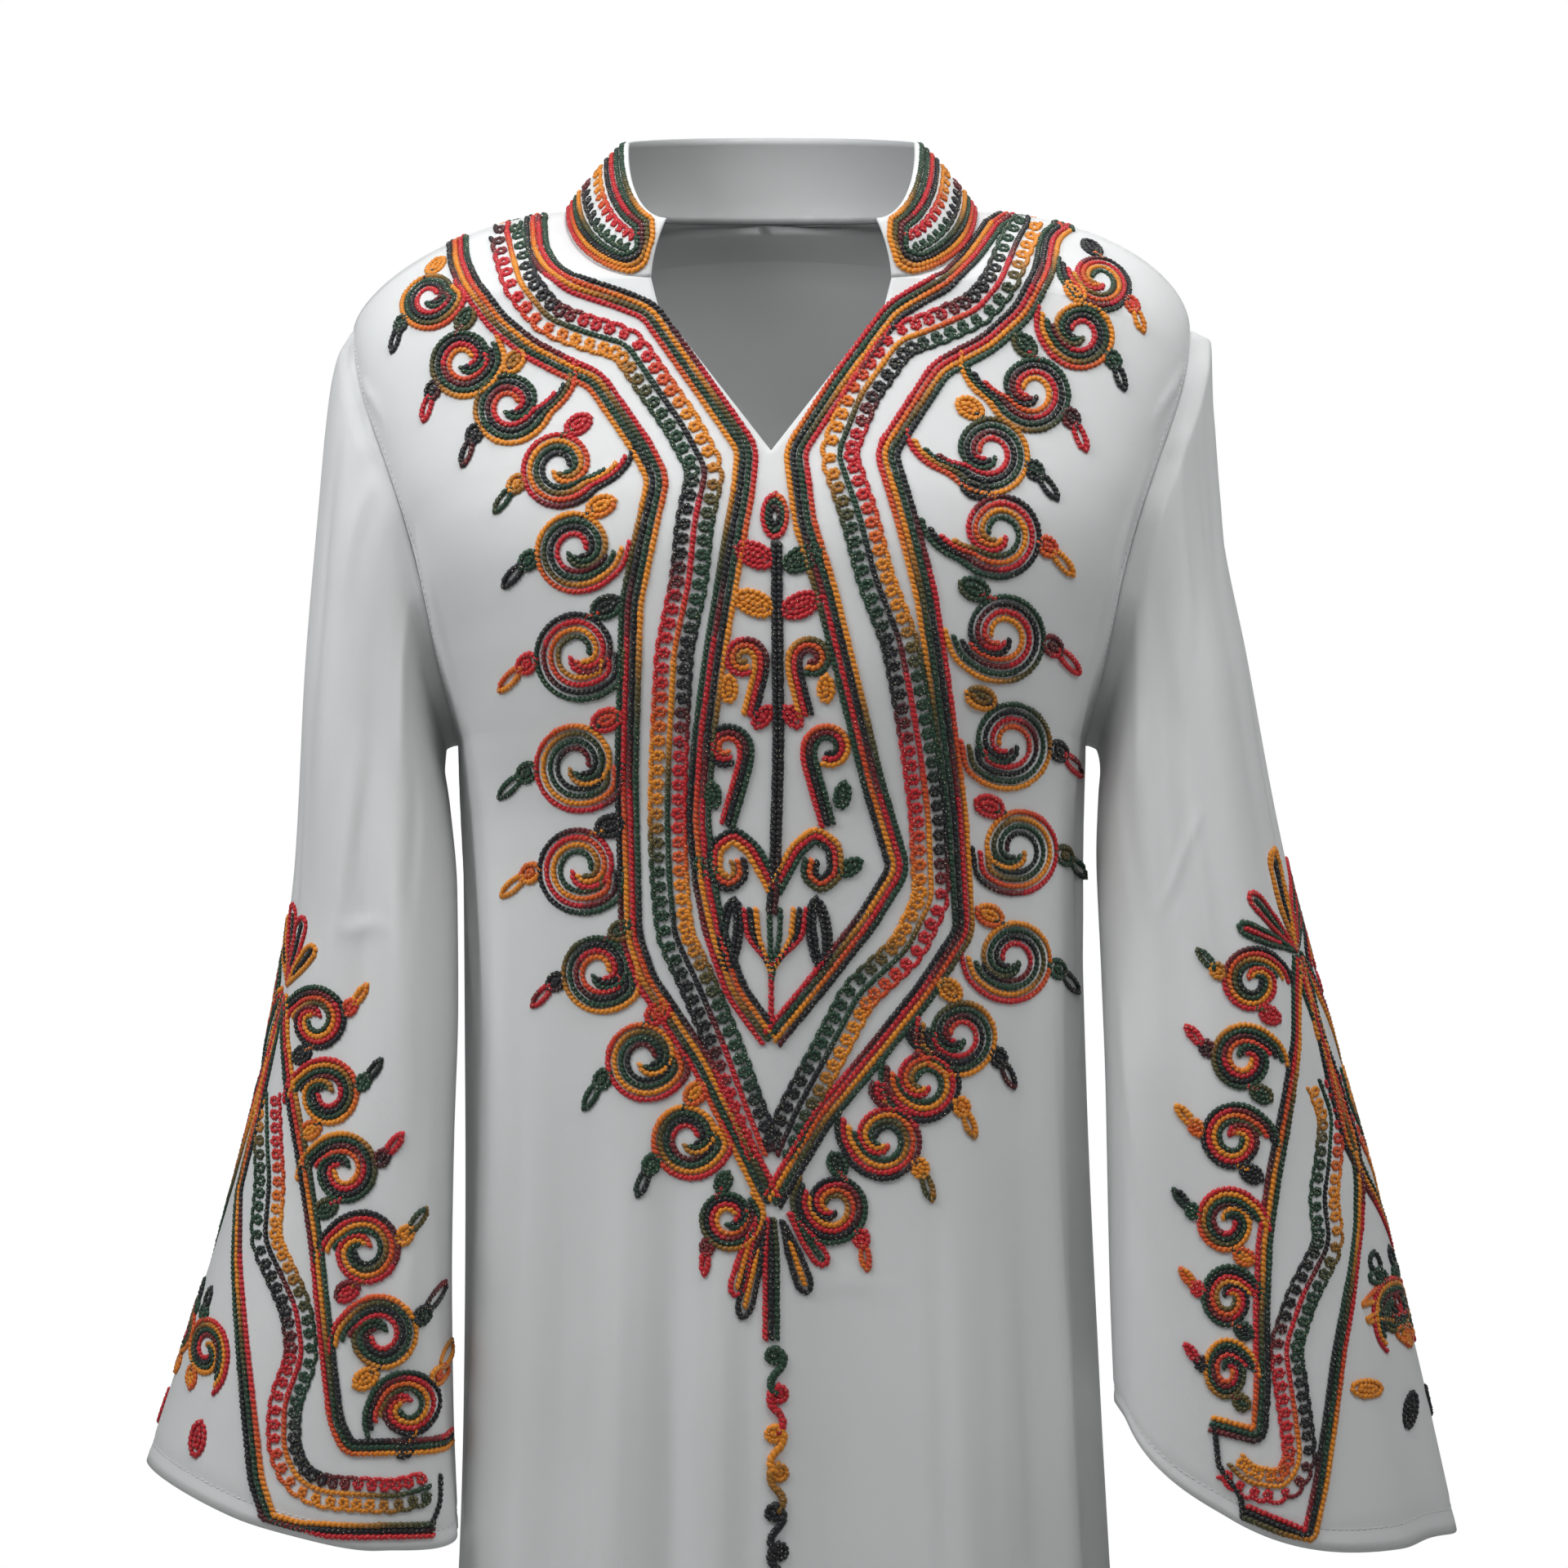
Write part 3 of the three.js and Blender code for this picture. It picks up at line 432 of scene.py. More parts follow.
PANEL_CREASES = {"front": in_mm(FRONT_CREASES), "back": in_mm(BACK_CREASES)}


def seam_lip(distance):
    """Two layers of seam allowance under the cloth lift it a little beside the seam."""
    return 0.55 * bump((distance - 5) / 5)


def panel_point(side, sign, share, down):
    """Half a panel with its folds, creases and seam lips, moved along the smooth panel's own normal, which
    levels out towards the hem so that the hem stays level."""
    share, down = np.broadcast_arrays(np.asarray(share, float), np.asarray(down, float))
    place = sign * share
    still = 1 - smooth_step(0.95, 1, share)
    rise = body_fold(side, place, down)
    rise = rise + creases(PANEL_CREASES[side], place * PANEL_HALF_WIDTH, down) * still
    rise = rise + seam_lip((1 - share) * SIDE_SHARE) * smooth_step(0, 40, down)
    point = smooth_panel(side, sign, share, down)
    outwards = smooth_panel(side, sign, np.minimum(share + 0.01, 1), down)
    inwards = smooth_panel(side, sign, np.maximum(share - 0.01, 0), down)
    middle_starts = DOWN_SLIT_FOOT if side == "front" else DOWN_BACK_NECK
    middle = ((share == 0) & (down >= middle_starts))[..., None]
    inwards = np.where(middle, outwards * (-1, 1, 1), inwards)
    across = (outwards - inwards) * np.asarray(sign)[..., None]
    along = smooth_panel(side, sign, share, down - 1) - smooth_panel(side, sign, share, down + 1)
    normal = unit(np.cross(across, along))
    normal[..., 2] *= 1 - smooth_step(FOLD_FULL_AT, DOWN_HEM, down)
    return point + unit(normal) * (rise if side == "front" else -rise)[..., None]


hem_fold = body_fold("front", np.linspace(-1, 1, 400), 1375.0)
print("deepest fold at the front hem:", hem_fold.min().round(1), "mm")

# %% [markdown]
# ## From grids to meshes
# A sheet is a grid of points. Quads join the neighbours, two half grids are welded along the middle line,
# and a Solidify modifier gives the cloth its thickness on the inside, so that the outer face stays where the
# formula puts it. Two values ride along with the points for the materials: the place on the flat cloth as
# a UV map, in decimetres, and the distance to the nearest seam.

# %% A sheet of cloth from grids


def mesh_of(name, points, faces):
    """A mesh from points in metres and arrays of faces; each array has its own number of corners."""
    loops = np.concatenate([part.reshape(-1) for part in faces])
    corners = np.concatenate([np.full(len(part), part.shape[1]) for part in faces])
    mesh = bpy.data.meshes.new(name)
    mesh.vertices.add(len(points))
    mesh.vertices.foreach_set("co", points.astype(np.float32).reshape(-1))
    mesh.loops.add(len(loops))
    mesh.loops.foreach_set("vertex_index", loops.astype(np.int32))
    mesh.polygons.add(len(corners))
    mesh.polygons.foreach_set("loop_start", (np.cumsum(corners) - corners).astype(np.int32))
    mesh.update(calc_edges=True)
    return mesh


def point_values(mesh, name, values):
    """A number for every point, which a material can read by its name."""
    mesh.attributes.new(name, "FLOAT", "POINT").data.foreach_set("value", values.astype(np.float32))


def cloth_sheet(name, grids, uvs, seams, flip, thickness):
    """Quads between neighbouring points of each grid, welded where two grids meet and made triangles where
    two of their corners fall together, then walled inwards."""
    points, quads, base = [], [], 0
    for grid, turned in zip(grids, flip):
        rows, columns = grid.shape[:2]
        index = base + np.arange(rows * columns).reshape(rows, columns)
        corners = [index[:-1, :-1], index[:-1, 1:], index[1:, 1:], index[1:, :-1]]
        quads.append(np.stack(corners[::-1] if turned else corners, -1).reshape(-1, 4))
        points.append(grid.reshape(-1, 3) * MM)
        base += rows * columns
    points, quads = np.vstack(points), np.vstack(quads)
    _, first, same = np.unique(np.round(points, 5), axis=0, return_index=True, return_inverse=True)
    welded = same.reshape(-1)[quads]
    distinct = welded != np.roll(welded, -1, axis=1)
    whole = distinct.sum(axis=1) == 4
    pinched = distinct.sum(axis=1) == 3
    triangles = welded[pinched][distinct[pinched]].reshape(-1, 3)
    mesh = mesh_of(name, points[first], [welded[whole], triangles])
    mesh.validate()
    flat = np.vstack([uv.reshape(-1, 2) for uv in uvs])[first]
    corner_points = np.empty(len(mesh.loops), np.int32)
    mesh.loops.foreach_get("vertex_index", corner_points)
    layer = mesh.uv_layers.new(name="cut")
    layer.data.foreach_set("uv", (flat[corner_points] * 0.01).astype(np.float32).reshape(-1))
    point_values(mesh, "seam_distance", np.concatenate([seam.reshape(-1) for seam in seams])[first])
    mesh.shade_smooth()
    made = put_in_scene(mesh, name)
    wall = made.modifiers.new("wall", "SOLIDIFY")
    wall.thickness = thickness * MM
    wall.offset = -1
    print(name, len(mesh.vertices), "points,", len(mesh.polygons), "faces")
    return made


def finish_cloth(piece, node, material):
    """The piece rides on the robe's one body, stands for its CAD node and wears the cloth."""
    piece.data.materials.append(material)
    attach(piece, "root")
    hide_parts(node)


# %% [markdown]
# ## The cloth's finish
# The robe is a soft crepe with a low satin sheen. Close up it has a fine grain of crossing threads, a
# slightly uneven lustre, and small puckers that run squarely to the seams. A weave and a soft variation are
# shader node groups, because the thread uses the variation too. They put out only values that change over
# the surface; the sheen and other plain numbers are set on the shader itself.

# %% Node groups for weave and variation


def set_inputs(node, values):
    """Plain numbers on a node's own sockets."""
    for label, value in values.items():
        node.inputs[label].default_value = value


def group_with(name, inputs, outputs):
    """A new shader group with its sockets: (name, socket type, start value) for each input."""
    tree = bpy.data.node_groups.new(name, "ShaderNodeTree")
    for label, kind, value in inputs:
        socket = tree.interface.new_socket(label, in_out="INPUT", socket_type=kind)
        if value is not None:
            socket.default_value = value
    for label, kind in outputs:
        tree.interface.new_socket(label, in_out="OUTPUT", socket_type=kind)
    return tree, tree.nodes.new("NodeGroupInput"), tree.nodes.new("NodeGroupOutput")


def math_node(tree, operation, first, second=None, third=None):
    """One Math node; a number goes on the socket, a socket is linked."""
    node = tree.nodes.new("ShaderNodeMath")
    node.operation = operation
    for socket, value in zip(node.inputs, (first, second, third)):
        if value is None:
            continue
        if isinstance(value, (int, float)):
            socket.default_value = value
        else:
            tree.links.new(value, socket)
    return node.outputs[0]


def make_weave_group():
    """Two sets of fine ridges at right angles, multiplied, with a noise that breaks their line."""
    tree, given, gives = group_with(
        "crepe_weave",
        (("Vector", "NodeSocketVector", None), ("Threads", "NodeSocketFloat", 120.0)),
        (("Height", "NodeSocketFloat"),))
    heights = []
    for direction in ("X", "Y"):
        wave = tree.nodes.new("ShaderNodeTexWave")
        wave.wave_type = "BANDS"
        wave.bands_direction = direction
        set_inputs(wave, {"Distortion": 2.2, "Detail": 1.0})
        tree.links.new(given.outputs["Vector"], wave.inputs["Vector"])
        tree.links.new(given.outputs["Threads"], wave.inputs["Scale"])
        heights.append(wave.outputs["Fac"])
    both = math_node(tree, "ADD", heights[0], heights[1])
    tree.links.new(both, gives.inputs["Height"])
    return tree


def make_variation_group():
    """Two noises of different size, mixed, that sway around one half."""
    tree, given, gives = group_with(
        "soft_variation",
        (("Vector", "NodeSocketVector", None), ("Large", "NodeSocketFloat", 6.0),
         ("Small", "NodeSocketFloat", 900.0)),
        (("Broad", "NodeSocketFloat"), ("Fine", "NodeSocketFloat")))
    for size, result in (("Large", "Broad"), ("Small", "Fine")):
        noise = tree.nodes.new("ShaderNodeTexNoise")
        noise.inputs["Detail"].default_value = 2.0
        tree.links.new(given.outputs["Vector"], noise.inputs["Vector"])
        tree.links.new(given.outputs[size], noise.inputs["Scale"])
        tree.links.new(noise.outputs["Fac"], gives.inputs[result])
    return tree


WEAVE = make_weave_group()
VARIATION = make_variation_group()


def new_material(name):
    """A material, its node tree, its Principled shader and its texture coordinates."""
    material = bpy.data.materials.new(name)
    material.use_nodes = True
    tree = material.node_tree
    return material, tree, tree.nodes["Principled BSDF"], tree.nodes.new("ShaderNodeTexCoord")


def add_relief(tree, shader, height, strength, distance):
    """A Bump node between a height and the shader's normal."""
    relief = tree.nodes.new("ShaderNodeBump")
    set_inputs(relief, {"Strength": strength, "Distance": distance})
    tree.links.new(height, relief.inputs["Height"])
    tree.links.new(relief.outputs["Normal"], shader.inputs["Normal"])


def place_group(tree, group, values, vector):
    """A group node in a material with its own values."""
    node = tree.nodes.new("ShaderNodeGroup")
    node.node_tree = group
    tree.links.new(vector, node.inputs["Vector"])
    set_inputs(node, values)
    return node


def colour_ramp(tree, factor, stops):
    """A colour for each place between 0 and 1, smooth between them."""
    ramp = tree.nodes.new("ShaderNodeValToRGB")
    elements = ramp.color_ramp.elements
    while len(elements) < len(stops):
        elements.new(0.5)
    for element, (place, colour) in zip(elements, stops):
        element.position = place
        element.color = (*colour, 1)
    tree.links.new(factor, ramp.inputs[0])
    return ramp.outputs[0]


# %% [markdown]
# ## White crepe
# The cloth's own material puts the groups together: the weave follows the cut cloth's UV map, the uneven
# lustre reads Object coordinates, and the puckers fade out sixteen millimetres from a seam.

# %% Make the cloth material
PUCKER_REACH = 16.0  # millimetres


def make_cloth(name, tone, roughness, threads):
    """White crepe: weave on the UV map, lustre on Object coordinates, puckers beside the seams."""
    material, tree, shader, where = new_material(name)
    vary = place_group(tree, VARIATION, {"Large": 7.0, "Small": 1400.0}, where.outputs["Object"])
    darker = tuple(value * 0.965 for value in tone)
    tree.links.new(colour_ramp(tree, vary.outputs["Broad"], ((0.35, darker), (0.65, tone))),
                   shader.inputs["Base Color"])
    rough = tree.nodes.new("ShaderNodeMapRange")
    set_inputs(rough, {"To Min": roughness - 0.06, "To Max": roughness + 0.06})
    tree.links.new(vary.outputs["Broad"], rough.inputs["Value"])
    tree.links.new(rough.outputs["Result"], shader.inputs["Roughness"])
    weave = place_group(tree, WEAVE, {"Threads": threads}, where.outputs["UV"])
    seam = tree.nodes.new("ShaderNodeAttribute")
    seam.attribute_name = "seam_distance"
    beside = math_node(tree, "SUBTRACT", 1.0, math_node(tree, "DIVIDE", seam.outputs["Fac"], PUCKER_REACH))
    beside = math_node(tree, "MAXIMUM", beside, 0.0)
    pucker = tree.nodes.new("ShaderNodeTexNoise")
    set_inputs(pucker, {"Scale": 95.0, "Detail": 1.0})
    tree.links.new(where.outputs["Object"], pucker.inputs["Vector"])
    puckers = math_node(tree, "MULTIPLY", math_node(tree, "MULTIPLY", beside, beside), pucker.outputs["Fac"])
    height = math_node(tree, "MULTIPLY", weave.outputs["Height"], 0.05)
    height = math_node(tree, "MULTIPLY_ADD", vary.outputs["Fine"], 0.05, height)
    height = math_node(tree, "MULTIPLY_ADD", puckers, 2.2, height)
    add_relief(tree, shader, height, 0.7, 0.0008)
    set_inputs(shader, {
        "Specular IOR Level": 0.35, "Sheen Weight": 0.18, "Sheen Roughness": 0.4, "Anisotropic": 0.25})
    return material


CREPE = make_cloth("white_crepe", (0.80, 0.81, 0.81), 0.52, 160.0)
COLLAR_CREPE = make_cloth("collar_crepe", (0.82, 0.83, 0.83), 0.50, 160.0)
print("materials:", CREPE.name, COLLAR_CREPE.name)

# %% [markdown]
# ## Front and back
# Each panel is two half grids, because the front is slit open from the neck to the chest: above the slit's
# foot the two middle edges part, below it they are welded. The columns are closer at the sides, where the
# sine packs them and where the cloth turns. Rows are evenly spaced down the cloth, with a few more beside the
# hem's stitch line.

# %% Make the body panels
HALF_COLUMNS = {"front": 84, "back": 62}
PANEL_ROWS = {"front": 222, "back": 180}
WALL = 1.2  # millimetres
HEM_FOLD = 22  # millimetres from the hem's edge to its stitch line
STITCH_DENT = 0.6  # how far a hem's stitch line sinks in
HALF_CUT = 260.0  # half the panel's width on the flat cloth


def panel_rows(side):
    """Distances down the panel, even, with every corner of the neckline among them."""
    corners = (DOWN_SLIT_TOP, DOWN_SLIT_BEND, DOWN_SLIT_FOOT, DOWN_BACK_NECK, DOWN_UNDERARM)
    even = np.linspace(0, DOWN_HEM, PANEL_ROWS[side])
    hem = DOWN_HEM - np.array((HEM_FOLD + 3, HEM_FOLD, HEM_FOLD - 3))
    return np.unique(np.concatenate([even, corners, hem]))


def make_panel(side):
    down = panel_rows(side)[:, None]
    share = np.linspace(0, 1, HALF_COLUMNS[side] + 1)[None, :]
    grids, uvs, seams, flip = [], [], [], []
    for sign in (-1, 1):
        grid = panel_point(side, sign, share, down)
        hem_dent = bump((down - DOWN_HEM + HEM_FOLD) / 5)
        grid[..., 1] += (STITCH_DENT if side == "front" else -STITCH_DENT) * hem_dent
        grids.append(grid)
        uvs.append(np.stack(np.broadcast_arrays(sign * share * HALF_CUT, -down), -1))
        seams.append(np.broadcast_to((1 - share) * SIDE_SHARE, grid.shape[:2]))
        flip.append((sign > 0) == (side == "front"))
    return cloth_sheet(f"{side}_cloth", grids, uvs, seams, flip, WALL)


front_cloth = make_panel("front")
back_cloth = make_panel("back")
finish_cloth(front_cloth, "front", CREPE)
finish_cloth(back_cloth, "back", CREPE)

# %% [markdown]
# ## The sleeves
# A sleeve is a tube that starts as the armhole and opens like a bell. A worn sleeve is flattened by its own
# weight, so a section is an ellipse between an outer and an inner line, and the tables say where those two
# lines run. The first hand's breadth takes the armhole's own shape and lets it fade out. The sleeve head has
# small gathers, the elbow creases, and the bell falls in wide folds.

# %% Sizes of the sleeves
SLEEVES = {
    "right": {
        "along": (0, 0.04, 0.09, 0.20, 0.34, 0.50, 0.64, 0.76, 0.88, 1),
        "outer_x": (239, 248, 253, 258, 265, 270, 284, 302, 326, 352),
        "outer_y": (8, 8, 7, 3, -2, -8, -12, -15, -18, -20),
        "outer_z": (-62, -77, -102, -165, -255, -365, -460, -540, -620, -701),
        "inner_x": (177, 185, 185, 181, 176, 175, 177, 178, 177, 174),
        "inner_y": (4, -1, -10, -27, -38, -44, -47, -49, -51, -55),
        "inner_z": (-298, -302, -311, -335, -382, -448, -520, -592, -664, -734),
        "half": (68, 67, 64, 58, 55, 55, 57, 59, 61, 63),
        "drop": (0, 0, 0, 0, 0, 0, 2, 4, 8, 13)},
    "left": {
        "along": (0, 0.04, 0.09, 0.20, 0.34, 0.50, 0.64, 0.76, 0.88, 1),
        "outer_x": (239, 251, 252, 255, 270, 290, 315, 340, 363, 385),
        "outer_y": (8, 8, 7, 3, -3, -10, -14, -18, -22, -25),
        "outer_z": (-62, -69, -102, -165, -250, -360, -455, -545, -640, -739),
        "inner_x": (177, 185, 186, 184, 182, 184, 186, 187, 188, 190),
        "inner_y": (4, -1, -10, -27, -38, -46, -50, -52, -56, -60),
        "inner_z": (-298, -302, -310, -329, -365, -426, -487, -545, -603, -663),
        "half": (68, 67, 64, 58, 56, 57, 60, 63, 66, 68),
        "drop": (0, 0, 0, 0, 0, 2, 6, 14, 24, 33)}}

# Columns: where a fold starts and ends, its turn in degrees at both, half width in degrees, rise.
SLEEVE_FOLDS = {
    "right": (
        (0.02, 0.55, 62, 52, 20, 5), (0.04, 0.80, 96, 86, 20, -5), (0.30, 1, 100, 152, 26, 8),
        (0.62, 1, 60, 96, 26, -4), (0.10, 1, 215, 210, 26, -6), (0.20, 1, 262, 258, 24, 6),
        (0.40, 1, 305, 312, 24, -5)),
    "left": (
        (0.01, 0.30, 24, 28, 12, 5), (0.02, 0.70, 92, 110, 18, -6), (0.10, 0.80, 58, 70, 22, 5),
        (0.45, 1, 132, 140, 26, 7), (0.60, 1, 40, 34, 20, -4), (0.10, 1, 220, 214, 26, -6),
        (0.25, 1, 268, 262, 24, 6), (0.45, 1, 312, 318, 22, -5))}

# Columns: turn in degrees and along at one end, the same at the other, half width in degrees, rise.
SLEEVE_CREASES = {
    "right": (
        (70, 0.01, 64, 0.22, 7, 2.0), (118, 0.02, 112, 0.30, 7, 1.8), (40, 0.03, 44, 0.36, 7, -1.6),
        (84, 0.30, 60, 0.60, 9, 1.8), (128, 0.20, 118, 0.46, 7, -1.6), (106, 0.46, 70, 0.52, 8, 1.4),
        (140, 0.60, 120, 0.92, 9, 1.6), (238, 0.02, 246, 0.34, 8, 1.8), (200, 0.05, 210, 0.5, 9, -1.6),
        (286, 0.03, 280, 0.4, 8, 1.8), (330, 0.30, 322, 0.62, 9, -1.5), (24, 0.40, 30, 0.74, 8, -1.6)),
    "left": (
        (66, 0.01, 72, 0.26, 7, 2.0), (118, 0.02, 122, 0.34, 7, 1.8), (46, 0.02, 48, 0.22, 6, -1.6),
        (96, 0.28, 84, 0.62, 9, 1.8), (136, 0.22, 126, 0.50, 7, -1.6), (82, 0.40, 118, 0.47, 8, 1.3),
        (150, 0.52, 128, 0.84, 9, 1.6), (238, 0.02, 246, 0.36, 8, 1.8), (204, 0.05, 212, 0.5, 9, -1.6),
        (288, 0.03, 280, 0.42, 8, 1.8), (332, 0.30, 322, 0.62, 9, -1.5), (18, 0.30, 24, 0.60, 8, -1.5))}
SLEEVE_LENGTH = 700  # what one unit of `along` measures, roughly
HEAD_GATHERS, GATHER_RISE = 15, 1.1  # gathers over the sleeve head and how far they rise
CUFF_HEM = 11  # from the cuff's edge to its stitch line


def sleeve_section(side, along, turn):
    """An ellipse between the outer line at turn 0 and the inner line half a turn on, which hangs through
    by the drop times the squared sine of the turn."""
    at = {name: curve(SLEEVES[side], "along", name, along) for name in SLEEVES[side] if name != "along"}
    reach = (1 + np.cos(turn)) / 2
    sign = 1 if side == "left" else -1
    x = at["inner_x"] + (at["outer_x"] - at["inner_x"]) * reach
    y = at["inner_y"] + (at["outer_y"] - at["inner_y"]) * reach - at["half"] * np.sin(turn)
    z = at["inner_z"] + (at["outer_z"] - at["inner_z"]) * reach
    z = z - at["drop"] * np.sin(turn) ** 2 * (1 - 0.45 * np.cos(turn))
    return np.stack([sign * x, y, z], -1)


def around(turn, centre):
    """How far a turn is from another one, in degrees, the short way round."""
    return (np.degrees(turn) - centre + 180) % 360 - 180


def sleeve_rise(side, along, turn):
    """Long folds, short creases, gathers at the head and the lips beside seam and cuff hem."""
    rise = np.zeros(np.broadcast(along, turn).shape)
    for start, end, turn_from, turn_to, reach, height in SLEEVE_FOLDS[side]:
        share = (along - start) / (end - start)
        inside = (share > 0) & (share <= 1.0001)
        share = np.clip(share, 0, 1)
        apart = around(turn, turn_from + (turn_to - turn_from) * share)
        fade = 1 - smooth_step(0.6, 1, share) if end < 1 else 1.0
        rise = rise + np.where(inside, height * smooth_step(0, 0.35, share) * fade * bump(apart / reach), 0)
    for turn_a, along_a, turn_b, along_b, width, height in SLEEVE_CREASES[side]:
        share = (along - along_a) / (along_b - along_a)
        apart = around(turn, turn_a + (turn_b - turn_a) * np.clip(share, 0, 1))
        taper = bump(np.clip(2 * share - 1, -1, 1)) ** 0.5
        rise = rise + height * taper * bump(apart / width)
    head = smooth_step(0, 0.012, along) * (1 - smooth_step(0.012, 0.075, along))
    over = 1 - smooth_step(50, 78, np.abs(around(turn, 0)))
    rise = rise + GATHER_RISE * head * over * np.sin(HEAD_GATHERS * turn + np.sin(5 * turn))
    rise = rise + seam_lip(along * SLEEVE_LENGTH)
    return rise - STITCH_DENT * bump(((1 - along) * SLEEVE_LENGTH - CUFF_HEM) / 5)


def make_seam_lookup(side):
    """The distance down the armhole's edge for each share of its length."""
    down = np.linspace(0, DOWN_UNDERARM, 300)
    length = gone_along(outer_edge(side, down))
    return length / length[-1], down


SEAM_DOWN = {side: make_seam_lookup(side) for side in ("front", "back")}


def armhole_point(side, turn):
    """The armhole as a loop: half a turn down the front edge, half a turn up the back one."""
    turn = np.mod(turn, 2 * np.pi)
    share = np.clip(np.where(turn <= np.pi, turn, 2 * np.pi - turn) / np.pi, 0, 1)
    in_front = outer_edge("front", np.interp(share, *SEAM_DOWN["front"]))
    behind = outer_edge("back", np.interp(share, *SEAM_DOWN["back"]))
    point = np.where((turn <= np.pi)[..., None], in_front, behind)
    return point * ((1, 1, 1) if side == "left" else (-1, 1, 1))


def sleeve_point(side, along, turn):
    """The section moved outwards by its folds, plus the armhole's own shape, which fades out."""
    along, turn = np.broadcast_arrays(np.asarray(along, float), np.asarray(turn, float))
    base = sleeve_section(side, along, turn)
    outer = sleeve_section(side, along, np.zeros_like(turn))
    inner = sleeve_section(side, along, np.full_like(turn, np.pi))
    base = base + unit(base - (outer + inner) / 2) * sleeve_rise(side, along, turn)[..., None]
    error = armhole_point(side, turn) - sleeve_section(side, np.zeros_like(turn), turn)
    return base + error * (1 - smooth_step(0, 0.22, along))[..., None]


print("cuff, outermost point:", sleeve_point("left", 1.0, 0.0).round(), "mm")

# %% [markdown]
# ## Both sleeves
# Each sleeve is one grid, closed all round, with its rows packed a little towards the shoulder, where the
# gathers are. The two share every function and differ only in their tables, because the robe hangs askew.

# %% Make the sleeves
SLEEVE_ROWS = 150
SLEEVE_COLUMNS = 148
SLEEVE_ROUND = 380.0  # what once round measures


def make_sleeve(side):
    even = np.linspace(0, 1, SLEEVE_ROWS) ** 1.15
    hem = 1 - np.array((CUFF_HEM + 2.5, CUFF_HEM, CUFF_HEM - 2.5)) / SLEEVE_LENGTH
    along = np.unique(np.concatenate([even, hem]))[:, None]
    turn = np.linspace(0, 2 * np.pi, SLEEVE_COLUMNS + 1)[None, :]
    grid = sleeve_point(side, along, turn)
    grid[:, -1] = grid[:, 0]
    uv = np.stack(np.broadcast_arrays(turn / (2 * np.pi) * SLEEVE_ROUND, -along * SLEEVE_LENGTH), -1)
    seam = np.broadcast_to(along * SLEEVE_LENGTH, grid.shape[:2])
    return cloth_sheet(f"sleeve_{side}_cloth", [grid], [uv], [seam], [side == "right"], WALL)


for side, width in (("right", 0.50), ("left", 0.52)):
    sleeve = make_sleeve(side)
    finish_cloth(sleeve, f"sleeve_{side}", CREPE)

# %% [markdown]
# ## The stand collar
# The collar is a band cut double that stands up on the neckline and ends in front in two leaf-shaped tips. It
# is a lofted strip between two quarter-ellipse pairs, the neckline below and the upper edge above, with a
# slight bow outwards. Its wall is thicker than the single cloth's.

# %% Make the collar
COLLAR_TOP_FRONT = (58, -71, -9)
COLLAR_TOP_SIDE = (82, -6, 44)
COLLAR_TOP_BACK = (0, 50, 56)
COLLAR_BOW = 2.5
COLLAR_WALL = 1.9
COLLAR_LONG, COLLAR_CUT = 190.0, 52.0  # half its length, and its height on the flat cloth
COLLAR_ROWS, COLLAR_HALF = 13, 64  # points up, and round to the centre back


def collar_top(side, turn):
    """The upper edge: a quarter of an ellipse in front and one behind."""
    return quarter_ellipse(COLLAR_TOP_FRONT if side == "front" else COLLAR_TOP_BACK, COLLAR_TOP_SIDE, turn)


def collar_point(sign, round_share, up):
    """From the front end at 0 over the shoulder at 0.5 to the centre back at 1, and from the neckline at
    up 0 to the upper edge at 1, bowed outwards by four times up times one minus up."""
    round_share, up = np.broadcast_arrays(np.asarray(round_share, float), np.asarray(up, float))
    turn_front = np.pi / 2 * np.clip(2 * round_share, 0, 1)
    turn_back = np.pi / 2 * np.clip(2 - 2 * round_share, 0, 1)
    in_front = (round_share <= 0.5)[..., None]
    foot = np.where(in_front, neckline("front", turn_front), neckline("back", turn_back))
    top = np.where(in_front, collar_top("front", turn_front), collar_top("back", turn_back))
    point = mix(foot, top, up)
    point = point + unit(point * (1, 1, 0)) * (COLLAR_BOW * 4 * up * (1 - up))[..., None]
    return point * np.stack([np.broadcast_to(sign, up.shape), np.ones_like(up), np.ones_like(up)], -1)


def make_collar():
    up = np.linspace(0, 1, COLLAR_ROWS)[:, None]
    half = np.linspace(0, 1, COLLAR_HALF)
    round_share = np.concatenate([half, half[-2::-1]])[None, :]
    sign = np.where(np.arange(2 * COLLAR_HALF - 1) < COLLAR_HALF, -1.0, 1.0)
    grid = collar_point(np.broadcast_to(sign, (COLLAR_ROWS, len(sign))), round_share, up)
    length = np.concatenate([half, 2 - half[-2::-1]])[None, :] * COLLAR_LONG
    uv = np.stack(np.broadcast_arrays(length, up * COLLAR_CUT), -1)
    seam = np.broadcast_to(up * COLLAR_CUT, grid.shape[:2])
    return cloth_sheet("collar_cloth", [grid], [uv], [seam], [True], COLLAR_WALL)


collar_cloth = make_collar()
finish_cloth(collar_cloth, "collar", COLLAR_CREPE)

# %% [markdown]
# ## Sewing onto a surface
# Embroidery could be painted on with a texture, but this one is laid thread, as thick as a match, and it
# casts shadows and breaks the outline. So it is made of stitches that sit on the cloth. Each row is drawn as
# a few points. On the front these are millimetres across and up, as seen from the front, and a table of the
# cloth's depth lifts them onto it. On the sleeves Newton's method finds the place that shows at each point.
# On the collar, the back and near the shoulder seams rows are given on the cut cloth itself.
# Rows beside the first one are moved over on the cloth itself, so they stay evenly spaced where it turns.

# %% Places on the cloth


